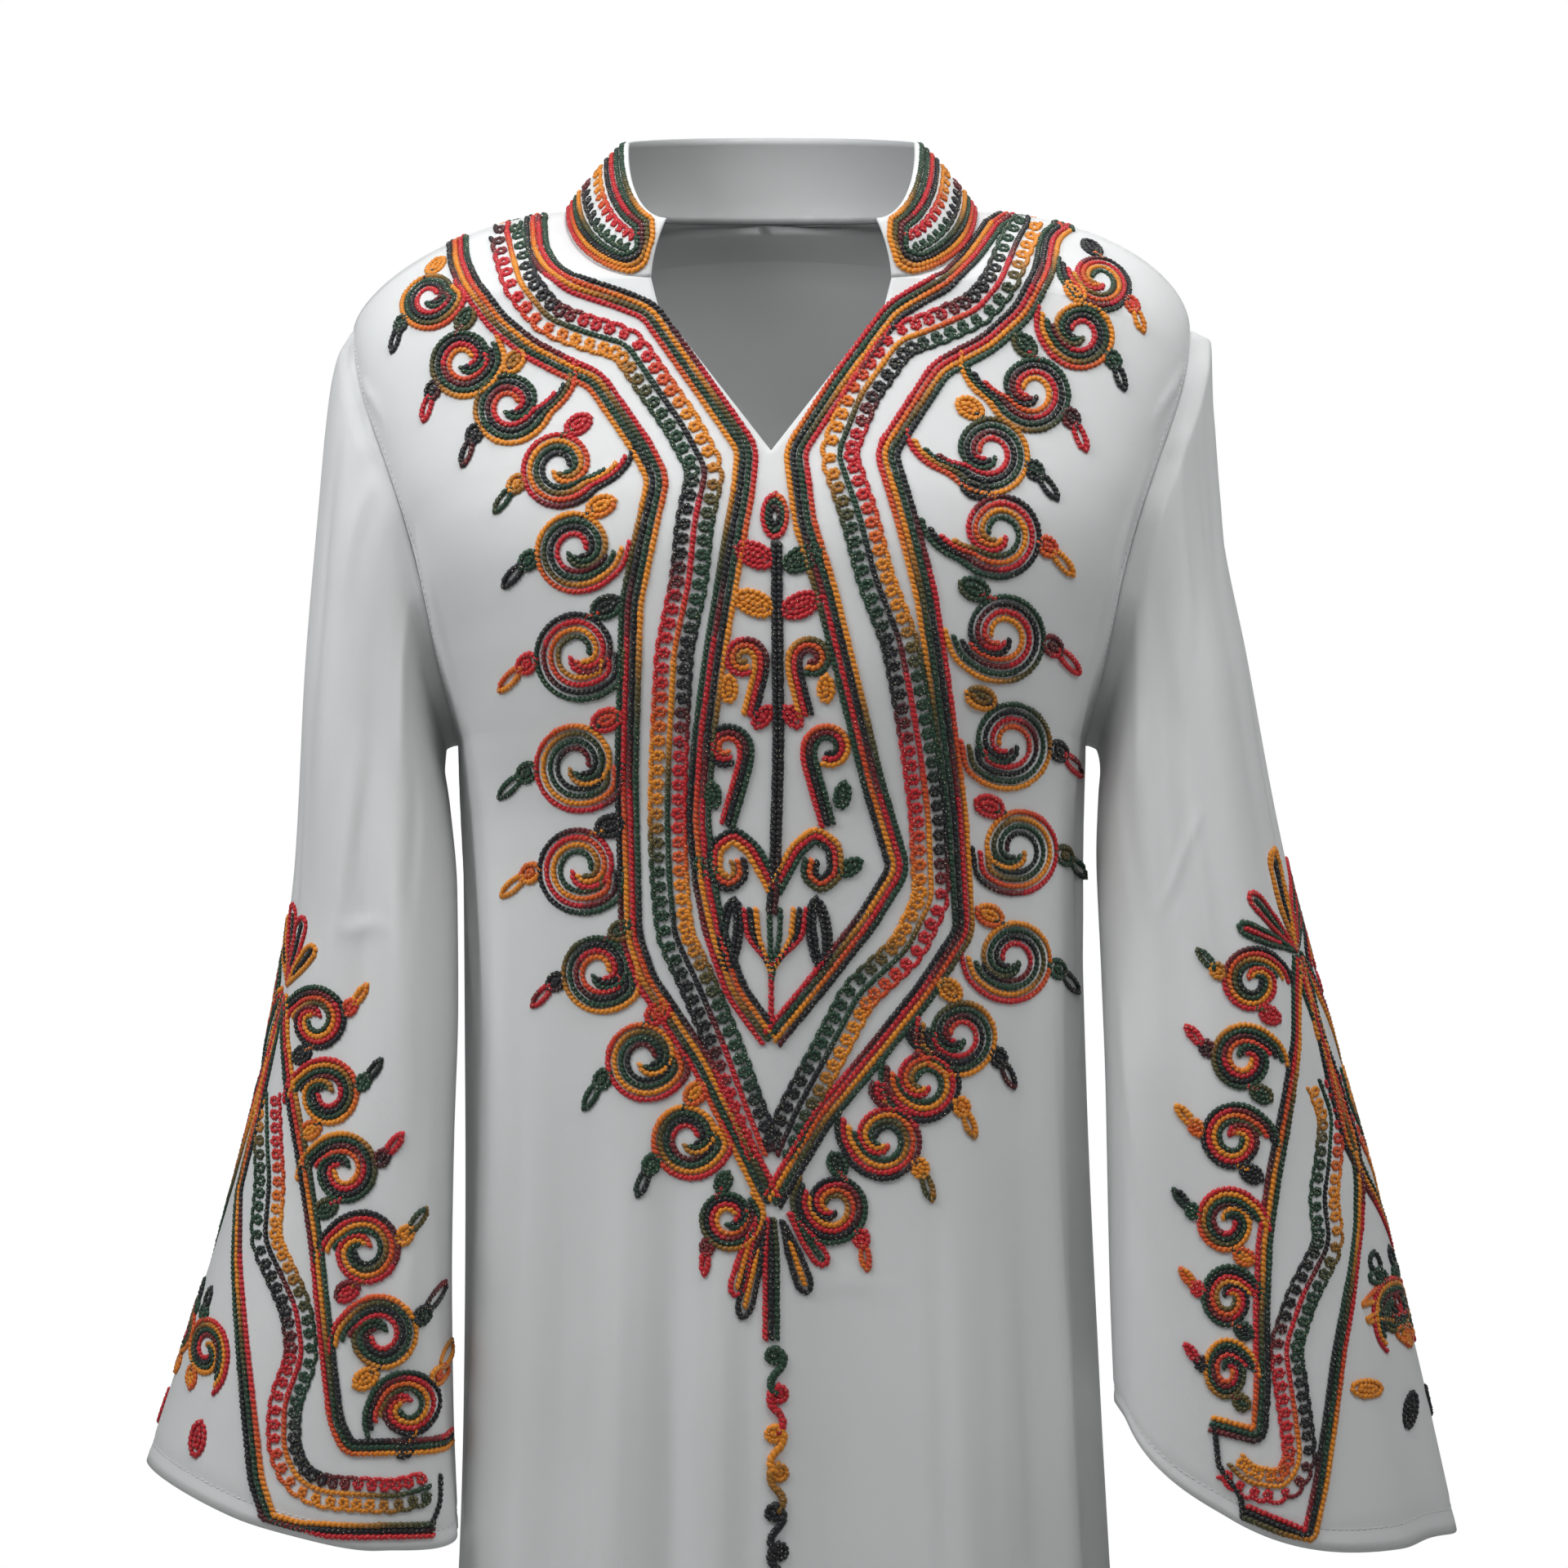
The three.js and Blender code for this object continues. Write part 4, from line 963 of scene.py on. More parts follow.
def side_of(u):
    """Minus one on the wearer's right, one on the left, and the share of the way to the side."""
    return np.where(u < 0, -1.0, 1.0), np.abs(u)


def front_cut_at(u, v):
    """u runs from -1 at the right side over 0 in the middle to 1; v is the distance down."""
    return panel_point("front", *side_of(u), v)


def back_at(u, v):
    return panel_point("back", *side_of(u), v)


RELIEF_STEP = 1.5
RELIEF_ACROSS = np.arange(-237, 237.1, RELIEF_STEP)
RELIEF_UP = np.arange(-1383, 9.1, RELIEF_STEP)


def front_relief():
    """The front's depth over even steps across and up: each row of the cut is read at even steps across,
    then each of those columns at even steps up."""
    rows = front_cut_at(np.linspace(-1, 1, 601), np.linspace(0, 1374, 700)[:, None])
    across = np.maximum.accumulate(rows[..., 0], axis=1)
    depth = np.stack([np.interp(RELIEF_ACROSS, x, y) for x, y in zip(across, rows[..., 1])])
    up = np.stack([np.interp(RELIEF_ACROSS, x, z) for x, z in zip(across, rows[..., 2])])
    up = np.minimum.accumulate(up, axis=0)
    return np.stack([np.interp(RELIEF_UP, z[::-1], y[::-1]) for z, y in zip(up.T, depth.T)])


FRONT_RELIEF = front_relief()


def front_at(u, v):
    """u is the distance across, v the height; the depth is the mean of the relief's four nearest values,
    weighted by how near they are."""
    i = np.clip((u - RELIEF_ACROSS[0]) / RELIEF_STEP, 0, len(RELIEF_ACROSS) - 1.001)
    j = np.clip((v - RELIEF_UP[0]) / RELIEF_STEP, 0, len(RELIEF_UP) - 1.001)
    a, b = i.astype(int), j.astype(int)
    s, t = i - a, j - b
    low = FRONT_RELIEF[a, b] * (1 - s) + FRONT_RELIEF[a + 1, b] * s
    high = FRONT_RELIEF[a, b + 1] * (1 - s) + FRONT_RELIEF[a + 1, b + 1] * s
    return np.stack([u, low * (1 - t) + high * t, v], -1)


def sleeve_right_at(u, v):
    """u is the turn in degrees, 0 on the outer line and 90 in front; v the share of the way to the cuff."""
    return sleeve_point("right", v, np.radians(u))


def sleeve_left_at(u, v):
    return sleeve_point("left", v, np.radians(u))


def collar_at(u, v):
    """u runs round from the front ends near 0 to the centre back at -1 and 1; v is up."""
    return collar_point(*side_of(u), v)


# For each surface: its function, small steps along u and v, and the sign that turns its normal outwards.
SURFACES = {
    "front": (front_at, 1.5, 1.5, 1),
    "front_cut": (front_cut_at, 0.002, 0.4, -1),
    "back": (back_at, 0.002, 0.4, 1),
    "sleeve_right": (sleeve_right_at, 0.3, 0.0006, -1),
    "sleeve_left": (sleeve_left_at, 0.3, 0.0006, 1),
    "collar": (collar_at, 0.002, 0.01, 1)}

# The lowest and highest v that a stitch may have, a little inside each piece's edges.
V_LIMITS = {
    "front": (-1370, 6), "front_cut": (1, 1370), "back": (1, 1370), "sleeve_right": (0.01, 0.993),
    "sleeve_left": (0.01, 0.993), "collar": (0.03, 0.97)}

# Where a drawn point is looked for: lowest and highest u, lowest and highest v.
SEARCH = {"sleeve_right": (-4, 178, 0.03, 1), "sleeve_left": (-4, 178, 0.03, 1),
          "front_cut": (-0.6, 0.6, 2, 70)}


def slopes_at(surface, u, v):
    """The point, both slopes and the outward normal, from small steps to both sides."""
    at, du, dv, out = SURFACES[surface]
    slope_u = (at(u + du, v) - at(u - du, v)) / (2 * du)
    slope_v = (at(u, v + dv) - at(u, v - dv)) / (2 * dv)
    return at(u, v), slope_u, slope_v, unit(np.cross(slope_u, slope_v) * out)


def find(surface, seen):
    """The (u, v) of points seen from the front: the nearest of a coarse grid, then Newton's steps on the two
    equations x = across and z = up. On the front the drawn point is its own place."""
    if surface == "front":
        return seen[:, 0].copy(), seen[:, 1].copy()
    low_u, high_u, low_v, high_v = SEARCH[surface]
    at, du, dv, _ = SURFACES[surface]
    grid_u, grid_v = np.meshgrid(np.linspace(low_u, high_u, 60), np.linspace(low_v, high_v, 110))
    coarse = at(grid_u, grid_v)[..., (0, 2)].reshape(-1, 2)
    u, v = np.empty(len(seen)), np.empty(len(seen))
    for start in range(0, len(seen), 2000):
        part = seen[start:start + 2000]
        nearest = ((part[:, None, :] - coarse[None]) ** 2).sum(-1).argmin(1)
        u[start:start + 2000] = grid_u.reshape(-1)[nearest]
        v[start:start + 2000] = grid_v.reshape(-1)[nearest]
    for _ in range(7):
        here = at(u, v)
        a = ((at(u + du, v) - here) / du)[:, (0, 2)]
        b = ((at(u, v + dv) - here) / dv)[:, (0, 2)]
        miss = seen - here[:, (0, 2)]
        area = a[:, 0] * b[:, 1] - a[:, 1] * b[:, 0]
        area = np.where(np.abs(area) < 1e-6, 1e-6, area)
        step_u = (miss[:, 0] * b[:, 1] - miss[:, 1] * b[:, 0]) / area
        step_v = (a[:, 0] * miss[:, 1] - a[:, 1] * miss[:, 0]) / area
        u = np.clip(u + np.clip(step_u, -25 * du, 25 * du), low_u, high_u)
        v = np.clip(v + np.clip(step_v, -60 * dv, 60 * dv), low_v, high_v)
    return u, v


# %% [markdown]
# ## Rows of thread
# A plan collects every row before any of it is sewn, because a few long arrays are quicker than many short
# ones. A row is a path with a colour that changes along it: the thread is dyed in stretches, from red over
# orange and green to black and back. `dye` is the place in that round where the row starts, and `run` is
# the length of thread that goes once round.

# %% Plan rows
# The looped cord: how far aside its loops' middle lies, their radius, their pitch, how far they swing ahead.
CORD = np.array((6.4, 3.2, 7.8, 3.8))
plan = []


def path_through(points, ease=8.0):
    """Straight lines between the points in steps of a millimetre, softened by a running mean as wide as
    `ease`."""
    points = np.asarray(points, float)
    gone = gone_along(points)
    path = read_at(np.linspace(0, gone[-1], max(4, int(gone[-1]) + 1)), gone, points)
    width = int(min(ease, len(path) / 3)) // 2
    if width < 1:
        return path
    padded = np.vstack([np.repeat(path[:1], width, 0), path, np.repeat(path[-1:], width, 0)])
    total = np.cumsum(np.vstack([[[0, 0]], padded]), axis=0)
    span = 2 * width + 1
    return (total[span:] - total[:-span]) / span


def row(surface, path, dye=0.0, run=430.0, aside=0.0, size=1.0, pitch=3.0, seen=True):
    """One row of stitches, `pitch` apart; `aside` moves it over on the cloth, `size` scales its thread, and
    `seen` is false for a path given on the cut cloth."""
    plan.append({
        "surface": surface, "path": np.asarray(path, float), "dye": dye, "run": run, "aside": aside,
        "size": size, "pitch": pitch, "seen": seen})


def band(surface, path, dyes, gap=3.6, **extra):
    """Rows side by side, each with its own place in the round of colours."""
    for k, dye in enumerate(dyes):
        row(surface, path, dye=dye, aside=(k - (len(dyes) - 1) / 2) * gap, **extra)


def ring(centre, long_half, short_half, tilt=0.0, start=0.0, share=1.0):
    """An ellipse or part of one, as a path."""
    t = np.radians(start) + np.linspace(0, 2 * np.pi * share, 40)
    c, s = math.cos(math.radians(tilt)), math.sin(math.radians(tilt))
    x, y = long_half * np.cos(t), short_half * np.sin(t)
    return np.stack([centre[0] + x * c - y * s, centre[1] + x * s + y * c], -1)


def loops_along(path, side, offset, loop, pitch, lead):
    """A looped cord beside a path: a point goes round in a circle while it moves on, a long trochoid."""
    gone = gone_along(path)
    s = np.linspace(0, gone[-1], max(8, int(gone[-1] * 3)))
    turn = 2 * np.pi * s / pitch
    ahead = np.clip(s + lead * np.sin(turn), 0, gone[-1])
    way = unit(np.gradient(read_at(s, gone, path), axis=0))
    across = np.stack([-way[:, 1], way[:, 0]], -1) * side
    return read_at(ahead, gone, path) + across * (offset + loop * np.cos(turn))[:, None]


def trail(surface, path, dye, size=1.0):
    """A cord with a looped cord on each side of it."""
    row(surface, path, dye=dye + 0.55, run=300, size=size, pitch=2.8)
    for side, shift in ((1, 0.0), (-1, 0.3)):
        looped = loops_along(path, side, *(CORD * size))
        row(surface, looped, dye=dye + shift, run=760, size=0.88 * size, pitch=2.3)


def petal(surface, base, tip, width, outer_dye, inner_dye, size=1.0):
    """A long closed loop from the base out to the tip and back, with a row inside it."""
    base, tip = np.asarray(base, float), np.asarray(tip, float)
    way = tip - base
    side = np.array((-way[1], way[0])) / np.hypot(*way) * width / 2
    outline = (base, base + way * 0.45 + side * 0.8, base + way * 0.88 + side, tip,
               base + way * 0.88 - side, base + way * 0.45 - side * 0.8, base)
    row(surface, path_through(outline, 6), dye=outer_dye, run=700, size=size, pitch=2.8)
    row(surface, path_through((base + way * 0.3, base + way * 0.86), 2), dye=inner_dye, run=700, size=size,
        pitch=2.8)


print("a row of 100 mm takes", int(100 / 3.0) + 1, "stitches")

# %% [markdown]
# ## The scroll
# The hooked scroll is an old folk ornament. Here it is one formula: four rows follow a spiral whose radius
# falls from the frame round the bottom, the far side and the top, and then quickly into a hook. A bud sits on
# the frame's side and a drop with a long loop on the far side. Table rows place the scrolls along the
# frame, each with its own size, tilt and start in the round of colours, so no two look the same.

# %% One scroll
SPIRAL = {
    "turn": (-4, 20, 45, 90, 180, 270, 315, 360, 405, 450, 520),
    "radius": (33, 29, 25, 23, 22.5, 22, 20, 17.5, 12.9, 9.0, 5.4)}
SPIRAL_ENDS = (520, 462, 405, 345)
ROW_GAP = 3.6


def scroll(surface, centre, size=1.0, tilt=0.0, dye=0.0, hand=1, rise=1, narrow=1.0, tail=0.0):
    """Rows at radius(turn) less a row's gap, seen from the centre: turn 0 points to the frame, 90 down, 180
    to the far side. The tilt lowers the far side, hand -1 mirrors left and right, rise -1 up and down, and
    `tail` lengthens the start that leads to the frame. Then the bud and the drop with its loop."""
    c, s = math.cos(math.radians(tilt)), math.sin(math.radians(tilt))

    def place(x, y):
        x, y = np.asarray(x, float) * size, np.asarray(y, float) * size
        return np.stack([
            centre[0] + hand * narrow * (x * c + y * s), centre[1] + rise * (y * c - x * s)], -1)

    for k, end in enumerate(SPIRAL_ENDS):
        turn = np.linspace(6 * k - 4, end, 90)
        radius = curve(SPIRAL, "turn", "radius", turn) - (k + 0.5) * ROW_GAP
        radius = radius + tail * (1 - smooth_step(-4, 42, turn))
        angle = np.radians(turn)
        row(surface, place(-radius * np.cos(angle), -radius * np.sin(angle)), dye=dye + 0.29 * k, run=340,
            size=0.98, pitch=2.9)
    # Columns: middle across and up, half length, half width, tilt, dye, run.
    for across, up, long_half, short_half, lean, shift, run in (
            (-15, 23, 7.2, 4.8, 160, 0.20, 500), (-15, 23, 4.0, 1.7, 160, 0.27, 900),
            (25.5, -2.5, 5.4, 4.0, -40, 0.62, 500), (25.5, -2.5, 2.2, 1.2, -40, 0.62, 500),
            (34.5, -9.5, 7.6, 2.4, -42, 0.72, 420)):
        shape = ring((across, up), long_half, short_half, lean)
        row(surface, place(*shape.T), dye=dye + shift, run=run, pitch=2.7)
    row(surface, place((-11, -8, -5), (20.5, 19.5, 19)), dye=dye + 0.7, size=0.9)


side_radius = curve(SPIRAL, "turn", "radius", 180.0) - ROW_GAP / 2
print(f"scroll is {2 * side_radius:.0f} mm wide without bud and drop")

# %% [markdown]
# ## The front's frames
# Two frames run from the shoulders past the slit and meet in points on the centre line, with the looped
# trail between them. They follow the photograph in the places of their corners; the left one is not quite
# the right one's mirror image, because the robe hangs askew. Points are millimetres across and up.

# %% Draw the frames
INNER_RIGHT = ((-134, -3), (-131, -22), (-123, -36), (-110, -46), (-84, -55), (-67, -62), (-39, -102),
               (-13, -140), (-15, -163), (-19, -185), (-30, -251), (-36, -295), (-39, -339), (-36, -374),
               (-30, -402), (-19, -433), (0, -459))
INNER_LEFT = ((127, -2), (121, -12), (111, -28), (97, -44), (78, -55), (67, -62), (38, -102), (13, -141),
              (18, -181), (29, -216), (42, -268), (55, -321), (69, -367), (51, -396), (25, -429), (0, -459))
OUTER_RIGHT = ((-179, -10), (-176, -27), (-168, -44), (-150, -68), (-132, -83), (-110, -95), (-96, -101),
               (-70, -139), (-61, -157), (-66, -180), (-75, -224), (-78, -317), (-76, -403), (-68, -427),
               (-38, -471), (0, -547))
OUTER_LEFT = ((166, -4), (157, -12), (151, -37), (138, -62), (119, -80), (92, -95), (62, -142), (73, -180),
              (83, -219), (91, -269), (101, -339), (105, -401), (83, -434), (58, -465), (28, -501), (0, -547))
TRAIL_RIGHT = ((-150, -8), (-146, -22), (-138, -46), (-122, -66), (-102, -74), (-79, -81), (-63, -105),
               (-48, -127), (-35, -152), (-41, -180), (-44, -212), (-52, -250), (-55, -303), (-56, -339),
               (-55, -372), (-52, -403), (-41, -426), (-26, -461), (-13, -497), (-3, -522))
TRAIL_LEFT = ((144, -5), (138, -16), (126, -45), (113, -61), (89, -72), (70, -79), (49, -109), (36, -143),
              (47, -176), (56, -211), (69, -244), (75, -273), (81, -308), (85, -339), (87, -383), (74, -410),
              (47, -435), (31, -466), (14, -497), (3, -522))

FRAME_GAP = 3.5  # between the frames' rows
for points, dyes in ((INNER_RIGHT, (0.84, 0.22, 0.02, 0.60)), (INNER_LEFT, (0.80, 0.30, 0.04, 0.62)),
                     (OUTER_RIGHT, (0.84, 0.24, 0.04, 0.66)), (OUTER_LEFT, (0.64, 0.80, 0.04, 0.34))):
    band("front", path_through(points, 12), dyes, gap=FRAME_GAP)
trail("front", path_through(TRAIL_RIGHT, 12), 0.62)
trail("front", path_through(TRAIL_LEFT, 12), 0.30)

# Columns: across, up, size, tilt in degrees, place in the round of colours.
SCROLLS_RIGHT = (
    (-188, -52, 0.74, 34, 0.10), (-167, -90, 0.80, 34, 0.28), (-141, -116, 0.84, 30, 0.18),
    (-113, -151, 0.86, 12, 0.80), (-104, -196, 0.90, 4, 0.06), (-103, -252, 0.98, 2, 0.50),
    (-104, -312, 0.98, 0, 0.92), (-103, -368, 0.96, -2, 0.62), (-92, -424, 0.86, 6, 0.26),
    (-67, -471, 0.88, 18, 0.94), (-43, -514, 0.84, 26, 0.02), (-21, -556, 0.66, 44, 0.34))
SCROLLS_LEFT = (
    (181, -42, 0.76, 30, 0.56), (168, -74, 0.80, 30, 0.08), (141, -108, 0.88, 26, 0.30),
    (117, -143, 0.90, 12, 0.12), (122, -187, 0.94, 6, 0.58), (124, -242, 0.98, 2, 0.32),
    (129, -300, 0.98, 0, 0.20), (134, -358, 0.96, 0, 0.86), (131, -418, 0.92, 6, 0.02),
    (101, -459, 0.86, 22, 0.16), (82, -484, 0.82, 26, 0.66), (60, -515, 0.84, 30, 0.74),
    (32, -551, 0.78, 40, 0.48))
FULLER = 1.13  # makes the scrolls as large as they are seen, nearly touching
HALF_BAND = 6.0  # from the middle of the outer frame's rows to their edge


def tail_to(outer, across, up, size, tilt):
    """How much longer a scroll's tail is than the table's, in the scroll's own measure, so that it ends at
    the frame: the gap between the tail's tip and the frame's edge at the tip's height."""
    outer = np.array(outer, float)
    reach = SPIRAL["radius"][0] * size
    tip = up + reach * math.sin(math.radians(tilt))
    edge = abs(np.interp(-tip, -outer[:, 1], outer[:, 0])) + HALF_BAND
    gap = abs(across) - reach * math.cos(math.radians(tilt)) - edge
    return min(max(gap + 1, -9), 22) / size


for hand, scrolls, outer in ((-1, SCROLLS_RIGHT, OUTER_RIGHT), (1, SCROLLS_LEFT, OUTER_LEFT)):
    for across, up, size, tilt, dye in scrolls:
        tail = tail_to(outer, across + hand, up, size * FULLER, tilt)
        scroll("front", (across + hand, up), size * FULLER, tilt, dye, hand=hand, tail=tail)
print("rows so far:", len(plan))

# %% [markdown]
# ## The tree in the middle
# Between the inner frames stands a slender plant: a bud on top, two pairs of leaves, a stem, hooks that
# curl outwards, a heart and two hanging leaves. Below the frames' point a few rays open, and a knotted chain
# runs down the middle. The photograph ends there, so the chain goes on plainly and stops above the hem.

# %% Draw the tree, the rays and the chain


def hook(base, tip, curl, radius, dye, rows=3):
    """A stem that leans from its base to its tip and curls over: a line, then most of a shrinking circle."""
    turn = np.linspace(0, 1.6 * np.pi, 40)
    shrink = radius * (1 - 0.5 * turn / turn[-1])
    centre = np.array(tip) + (curl * radius, 0)
    coil = np.stack([centre[0] - curl * shrink * np.cos(turn), centre[1] + shrink * np.sin(turn)], -1)
    path = np.vstack([path_through((base, (tip[0], tip[1] - 6), tip), 6), coil])
    for k in range(rows):
        row("front", path, dye=dye + 0.24 * k, run=300, aside=(k - (rows - 1) / 2) * 3.3, pitch=2.8)


for long_half, dye in ((11.5, 0.04), (8.2, 0.55), (4.6, 0.86)):
    row("front", ring((2, -177), long_half, long_half * 0.55, 90), dye=dye, run=260, pitch=2.9)
for across, up, tilt, dye in ((-9, -198, 158, 0.05), (17, -200, 24, 0.56), (-9, -224, 158, 0.30),
                              (16, -225, 24, 0.02)):
    for long_half, short_half in ((10.5, 5.8), (7.2, 3.0), (3.6, 0.4)):
        row("front", ring((across, up), long_half, short_half, tilt), dye=dye, run=900)
stem = path_through(((3, -190), (4, -300), (2, -371), (0, -392)), 20)
band("front", stem, (0.80, 0.82), gap=3.1, run=1600, size=1.1)
MIDDLE = 3.5  # the stem stands a little to the wearer's left
for side in (-1, 1):
    hook((MIDDLE + side * 15, -284), (MIDDLE + side * 9, -254), side, 9.0, 0.84)
    hook((MIDDLE + side * 27, -343), (MIDDLE + side * 17, -302), side, 10.5, 0.56)
    for long_half, short_half in ((6.6, 3.6), (3.0, 0.8)):
        for away, up, lean, dye in ((26, -270, 90, 0.30), (8, -285, 90 + side * 40, 0.02),
                                    (35, -327, 90 - side * 8, 0.62), (39, -366, 30 * side, 0.60)):
            bud = ring((MIDDLE + side * away, up), long_half, short_half, lean)
            row("front", bud, dye=dye, run=900)
    heart = ((2, -378), (2 + side * 12, -356), (2 + side * 22, -348), (2 + side * 32, -355),
             (2 + side * 33, -369), (2 + side * 25, -376), (2 + side * 18, -370), (2 + side * 20, -362))
    band("front", path_through(heart, 7), (0.66, 0.04, 0.30), gap=3.3, run=400)
    for long_half, short_half, dye in ((19, 5.6, 0.78), (15.5, 2.6, 0.80)):
        hanging = ring((2 + side * 24, -402), long_half, short_half, 90 + side * 6)
        row("front", hanging, dye=dye, run=900)
    for reach, dye in ((17, 0.02), (13.6, 0.80), (10.2, 0.30), (3.0, 0.60)):
        wedge = ((2 + side * reach, -388), (2 + side * (reach * 0.86), -404), (0, -429 + reach * 0.6))
        row("front", path_through(wedge, 8), dye=dye, run=300)
row("front", path_through(((0, -424), (0, -452)), 2), dye=0.02, run=400)

# Columns: the ray's near end across and up, its far end across and up, dyes outside and inside.
RAYS = ((-8, -555, -20, -598, 0.02, 0.28), (-3, -557, -16, -610, 0.80, 0.30),
        (6, -557, 20, -597, 0.78, 0.32), (10, -553, 30, -582, 0.03, 0.60))
for near_x, near_z, far_x, far_z, outer_dye, inner_dye in RAYS:
    petal("front", (near_x, near_z), (far_x, far_z), 8, outer_dye, inner_dye)
for aside, dye in ((-3.2, 0.0), (0, 0.84), (3.2, 0.52)):
    row("front", path_through(((aside * 0.5, -556), (aside, -575), (aside, -620)), 4), dye=dye, run=900)

# Knots and links from the rays' foot down to a little above the hem.
CHAIN_TOP, CHAIN_STEP, CHAIN_KNOTS = -629, 21.0, 33
for k in range(CHAIN_KNOTS):
    up = CHAIN_TOP - CHAIN_STEP * k
    dye = (0.56, 0.02, 0.30, 0.42, 0.80, 0.84, 0.60)[k % 7]
    side = 1 - 2 * (k % 2)
    for radius in (3.8, 1.2):
        row("front", ring((3 - side * 1.5, up), radius, radius, 70), dye=dye, run=900, pitch=2.5)
    link = ((3 - side * 1, up + 4), (3 + side * 4, up), (3 + side * 3, up - 6), (3 - side * 2, up - 11),
            (3 - side * 4, up - 16), (3 - side * 1, up - 20))
    row("front", path_through(link, 5), dye=dye + 0.03, run=900, size=1.35, pitch=3.1)
print("rows so far:", len(plan))

# %% [markdown]
# ## Collar and back
# The collar has four rows all round its edge and a looped cord inside. Behind the neck the two frames and
# the cord go on, each a quarter of an ellipse on the cut cloth from the shoulder seam to the centre back.
# Short straight rows on the cut front join them to the lines drawn before, which end just short of the seam.
# The back isn't seen in the photograph, and such a robe has just this yoke there.

# %% Draw the collar's rows and the yoke
COLLAR_HIGH = 46.0  # what one unit of v measures at the collar's front
COLLAR_CORD = (4.4, 2.1, 6.8, 2.8)  # as CORD
for sign in (-1, 1):
    for inset, dye in ((3.0, 0.66), (6.2, 0.80), (9.4, 0.28), (12.6, 0.02)):
        low, high, tip = inset, COLLAR_HIGH - inset, inset + 2
        outline = ((190, low), (60, low), (tip + 8, low), (tip, low + 7), (tip, high - 12), (tip + 10, high),
                   (60, high), (190, high))
        path = path_through(outline, 8) / (COLLAR_LONG, COLLAR_HIGH) * (sign, 1)
        row("collar", path, dye=dye, run=380, pitch=2.9, seen=False)
    # The looped cord, drawn in millimetres and then turned into shares of the collar's length and height.
    middle_row = path_through(((20, COLLAR_HIGH / 2), (188, COLLAR_HIGH / 2)), 2)
    for side, dye in ((1, 0.02), (-1, 0.58)):
        looped = loops_along(middle_row, side, *COLLAR_CORD)
        looped = looped / (COLLAR_LONG, COLLAR_HIGH) * (sign, 1)
        row("collar", looped, dye=dye, run=520, size=0.86, pitch=2.3, seen=False)


def yoke(share_at_seam, down_at_middle, sign):
    """On the cut back: share by the cosine of a quarter turn, distance down by its sine."""
    turn = np.linspace(0.01, np.pi / 2, 120)
    return np.stack([sign * share_at_seam * np.cos(turn), down_at_middle * np.sin(turn)], -1)


# Columns: side, shares at the shoulder seam of the inner band, the cord and the outer band, start of the dye.
YOKE = ((-1, 0.089, 0.174, 0.339, 0.0), (1, 0.089, 0.153, 0.262, 0.4))
YOKE_INNER, YOKE_CORD, YOKE_OUTER = 58, 79, 101
LOOPS_TO_THE_MIDDLE = 26
SEAM_LONG = 240.0  # what one unit of u measures along the shoulder seam
for sign, inner_share, cord_share, outer_share, flip_dye in YOKE:
    band("back", yoke(inner_share, YOKE_INNER, sign), (0.62 + flip_dye, 0.22, 0.84), seen=False)
    band("back", yoke(outer_share, YOKE_OUTER, sign), (0.04, 0.30 + flip_dye, 0.72), seen=False)
    row("back", yoke(cord_share, YOKE_CORD, sign), dye=0.55, run=300, size=0.8, pitch=2.4, seen=False)
    for shift, dye in ((-1, 0.62), (1, 0.32)):
        way = np.linspace(0.01, 1, 1400)
        rings = 2 * np.pi * way * LOOPS_TO_THE_MIDDLE
        turn = np.pi / 2 * (way + 0.016 * np.sin(rings))
        out = shift * (5.4 + 2.9 * np.cos(rings))
        share = (cord_share + out / SEAM_LONG) * np.cos(turn)
        row("back", np.stack([sign * share, (YOKE_CORD + out) * np.sin(turn)], -1), dye=dye, run=640,
            size=0.66, pitch=2.1, seen=False)


def from_the_seam(share, drawn):
    """A straight line on the cut front, in millimetres: from the shoulder seam to a line's first point as
    drawn, which is looked for on the cut cloth."""
    u, v = find("front_cut", np.array([drawn[0]], float))
    return path_through(((share * SEAM_LONG, 1), (u[0] * SEAM_LONG, v[0] + 1)), 2)


def seam_row(path, dye, **extra):
    row("front_cut", path / (SEAM_LONG, 1), dye=dye, seen=False, **extra)


for (sign, inner_share, cord_share, outer_share, _), inner, cord, outer, cord_dye in zip(
        YOKE, (INNER_RIGHT, INNER_LEFT), (TRAIL_RIGHT, TRAIL_LEFT), (OUTER_RIGHT, OUTER_LEFT), (0.62, 0.30)):
    for share, drawn, dyes in ((inner_share, inner, (0.84, 0.22, 0.02, 0.60)),
                               (outer_share, outer, (0.84, 0.24, 0.04, 0.66))):
        path = from_the_seam(sign * share, drawn)
        for k, dye in enumerate(dyes):
            seam_row(path, dye - 0.04, aside=(k - 1.5) * FRAME_GAP)
    path = from_the_seam(sign * cord_share, cord)
    seam_row(path, cord_dye + 0.51, run=300)
    for side, shift in ((-1, 0.0), (1, 0.3)):
        seam_row(loops_along(path, side, *CORD), cord_dye + shift, run=760, size=0.88, pitch=2.3)
print("rows so far:", len(plan))

# %% [markdown]
# ## The sleeves' points
# On each sleeve a tall point climbs from the cuff: two bands of three rows with the looped trail between
# them, which then turn along the cuff. Scrolls hang on the outer band, petals stand on the point, and a
# small scroll and drops lie behind the inner band. Half of it shows in front. The other half lies on the
# sleeve's far side, and is the first half mirrored on the cut cloth about the point's own line.

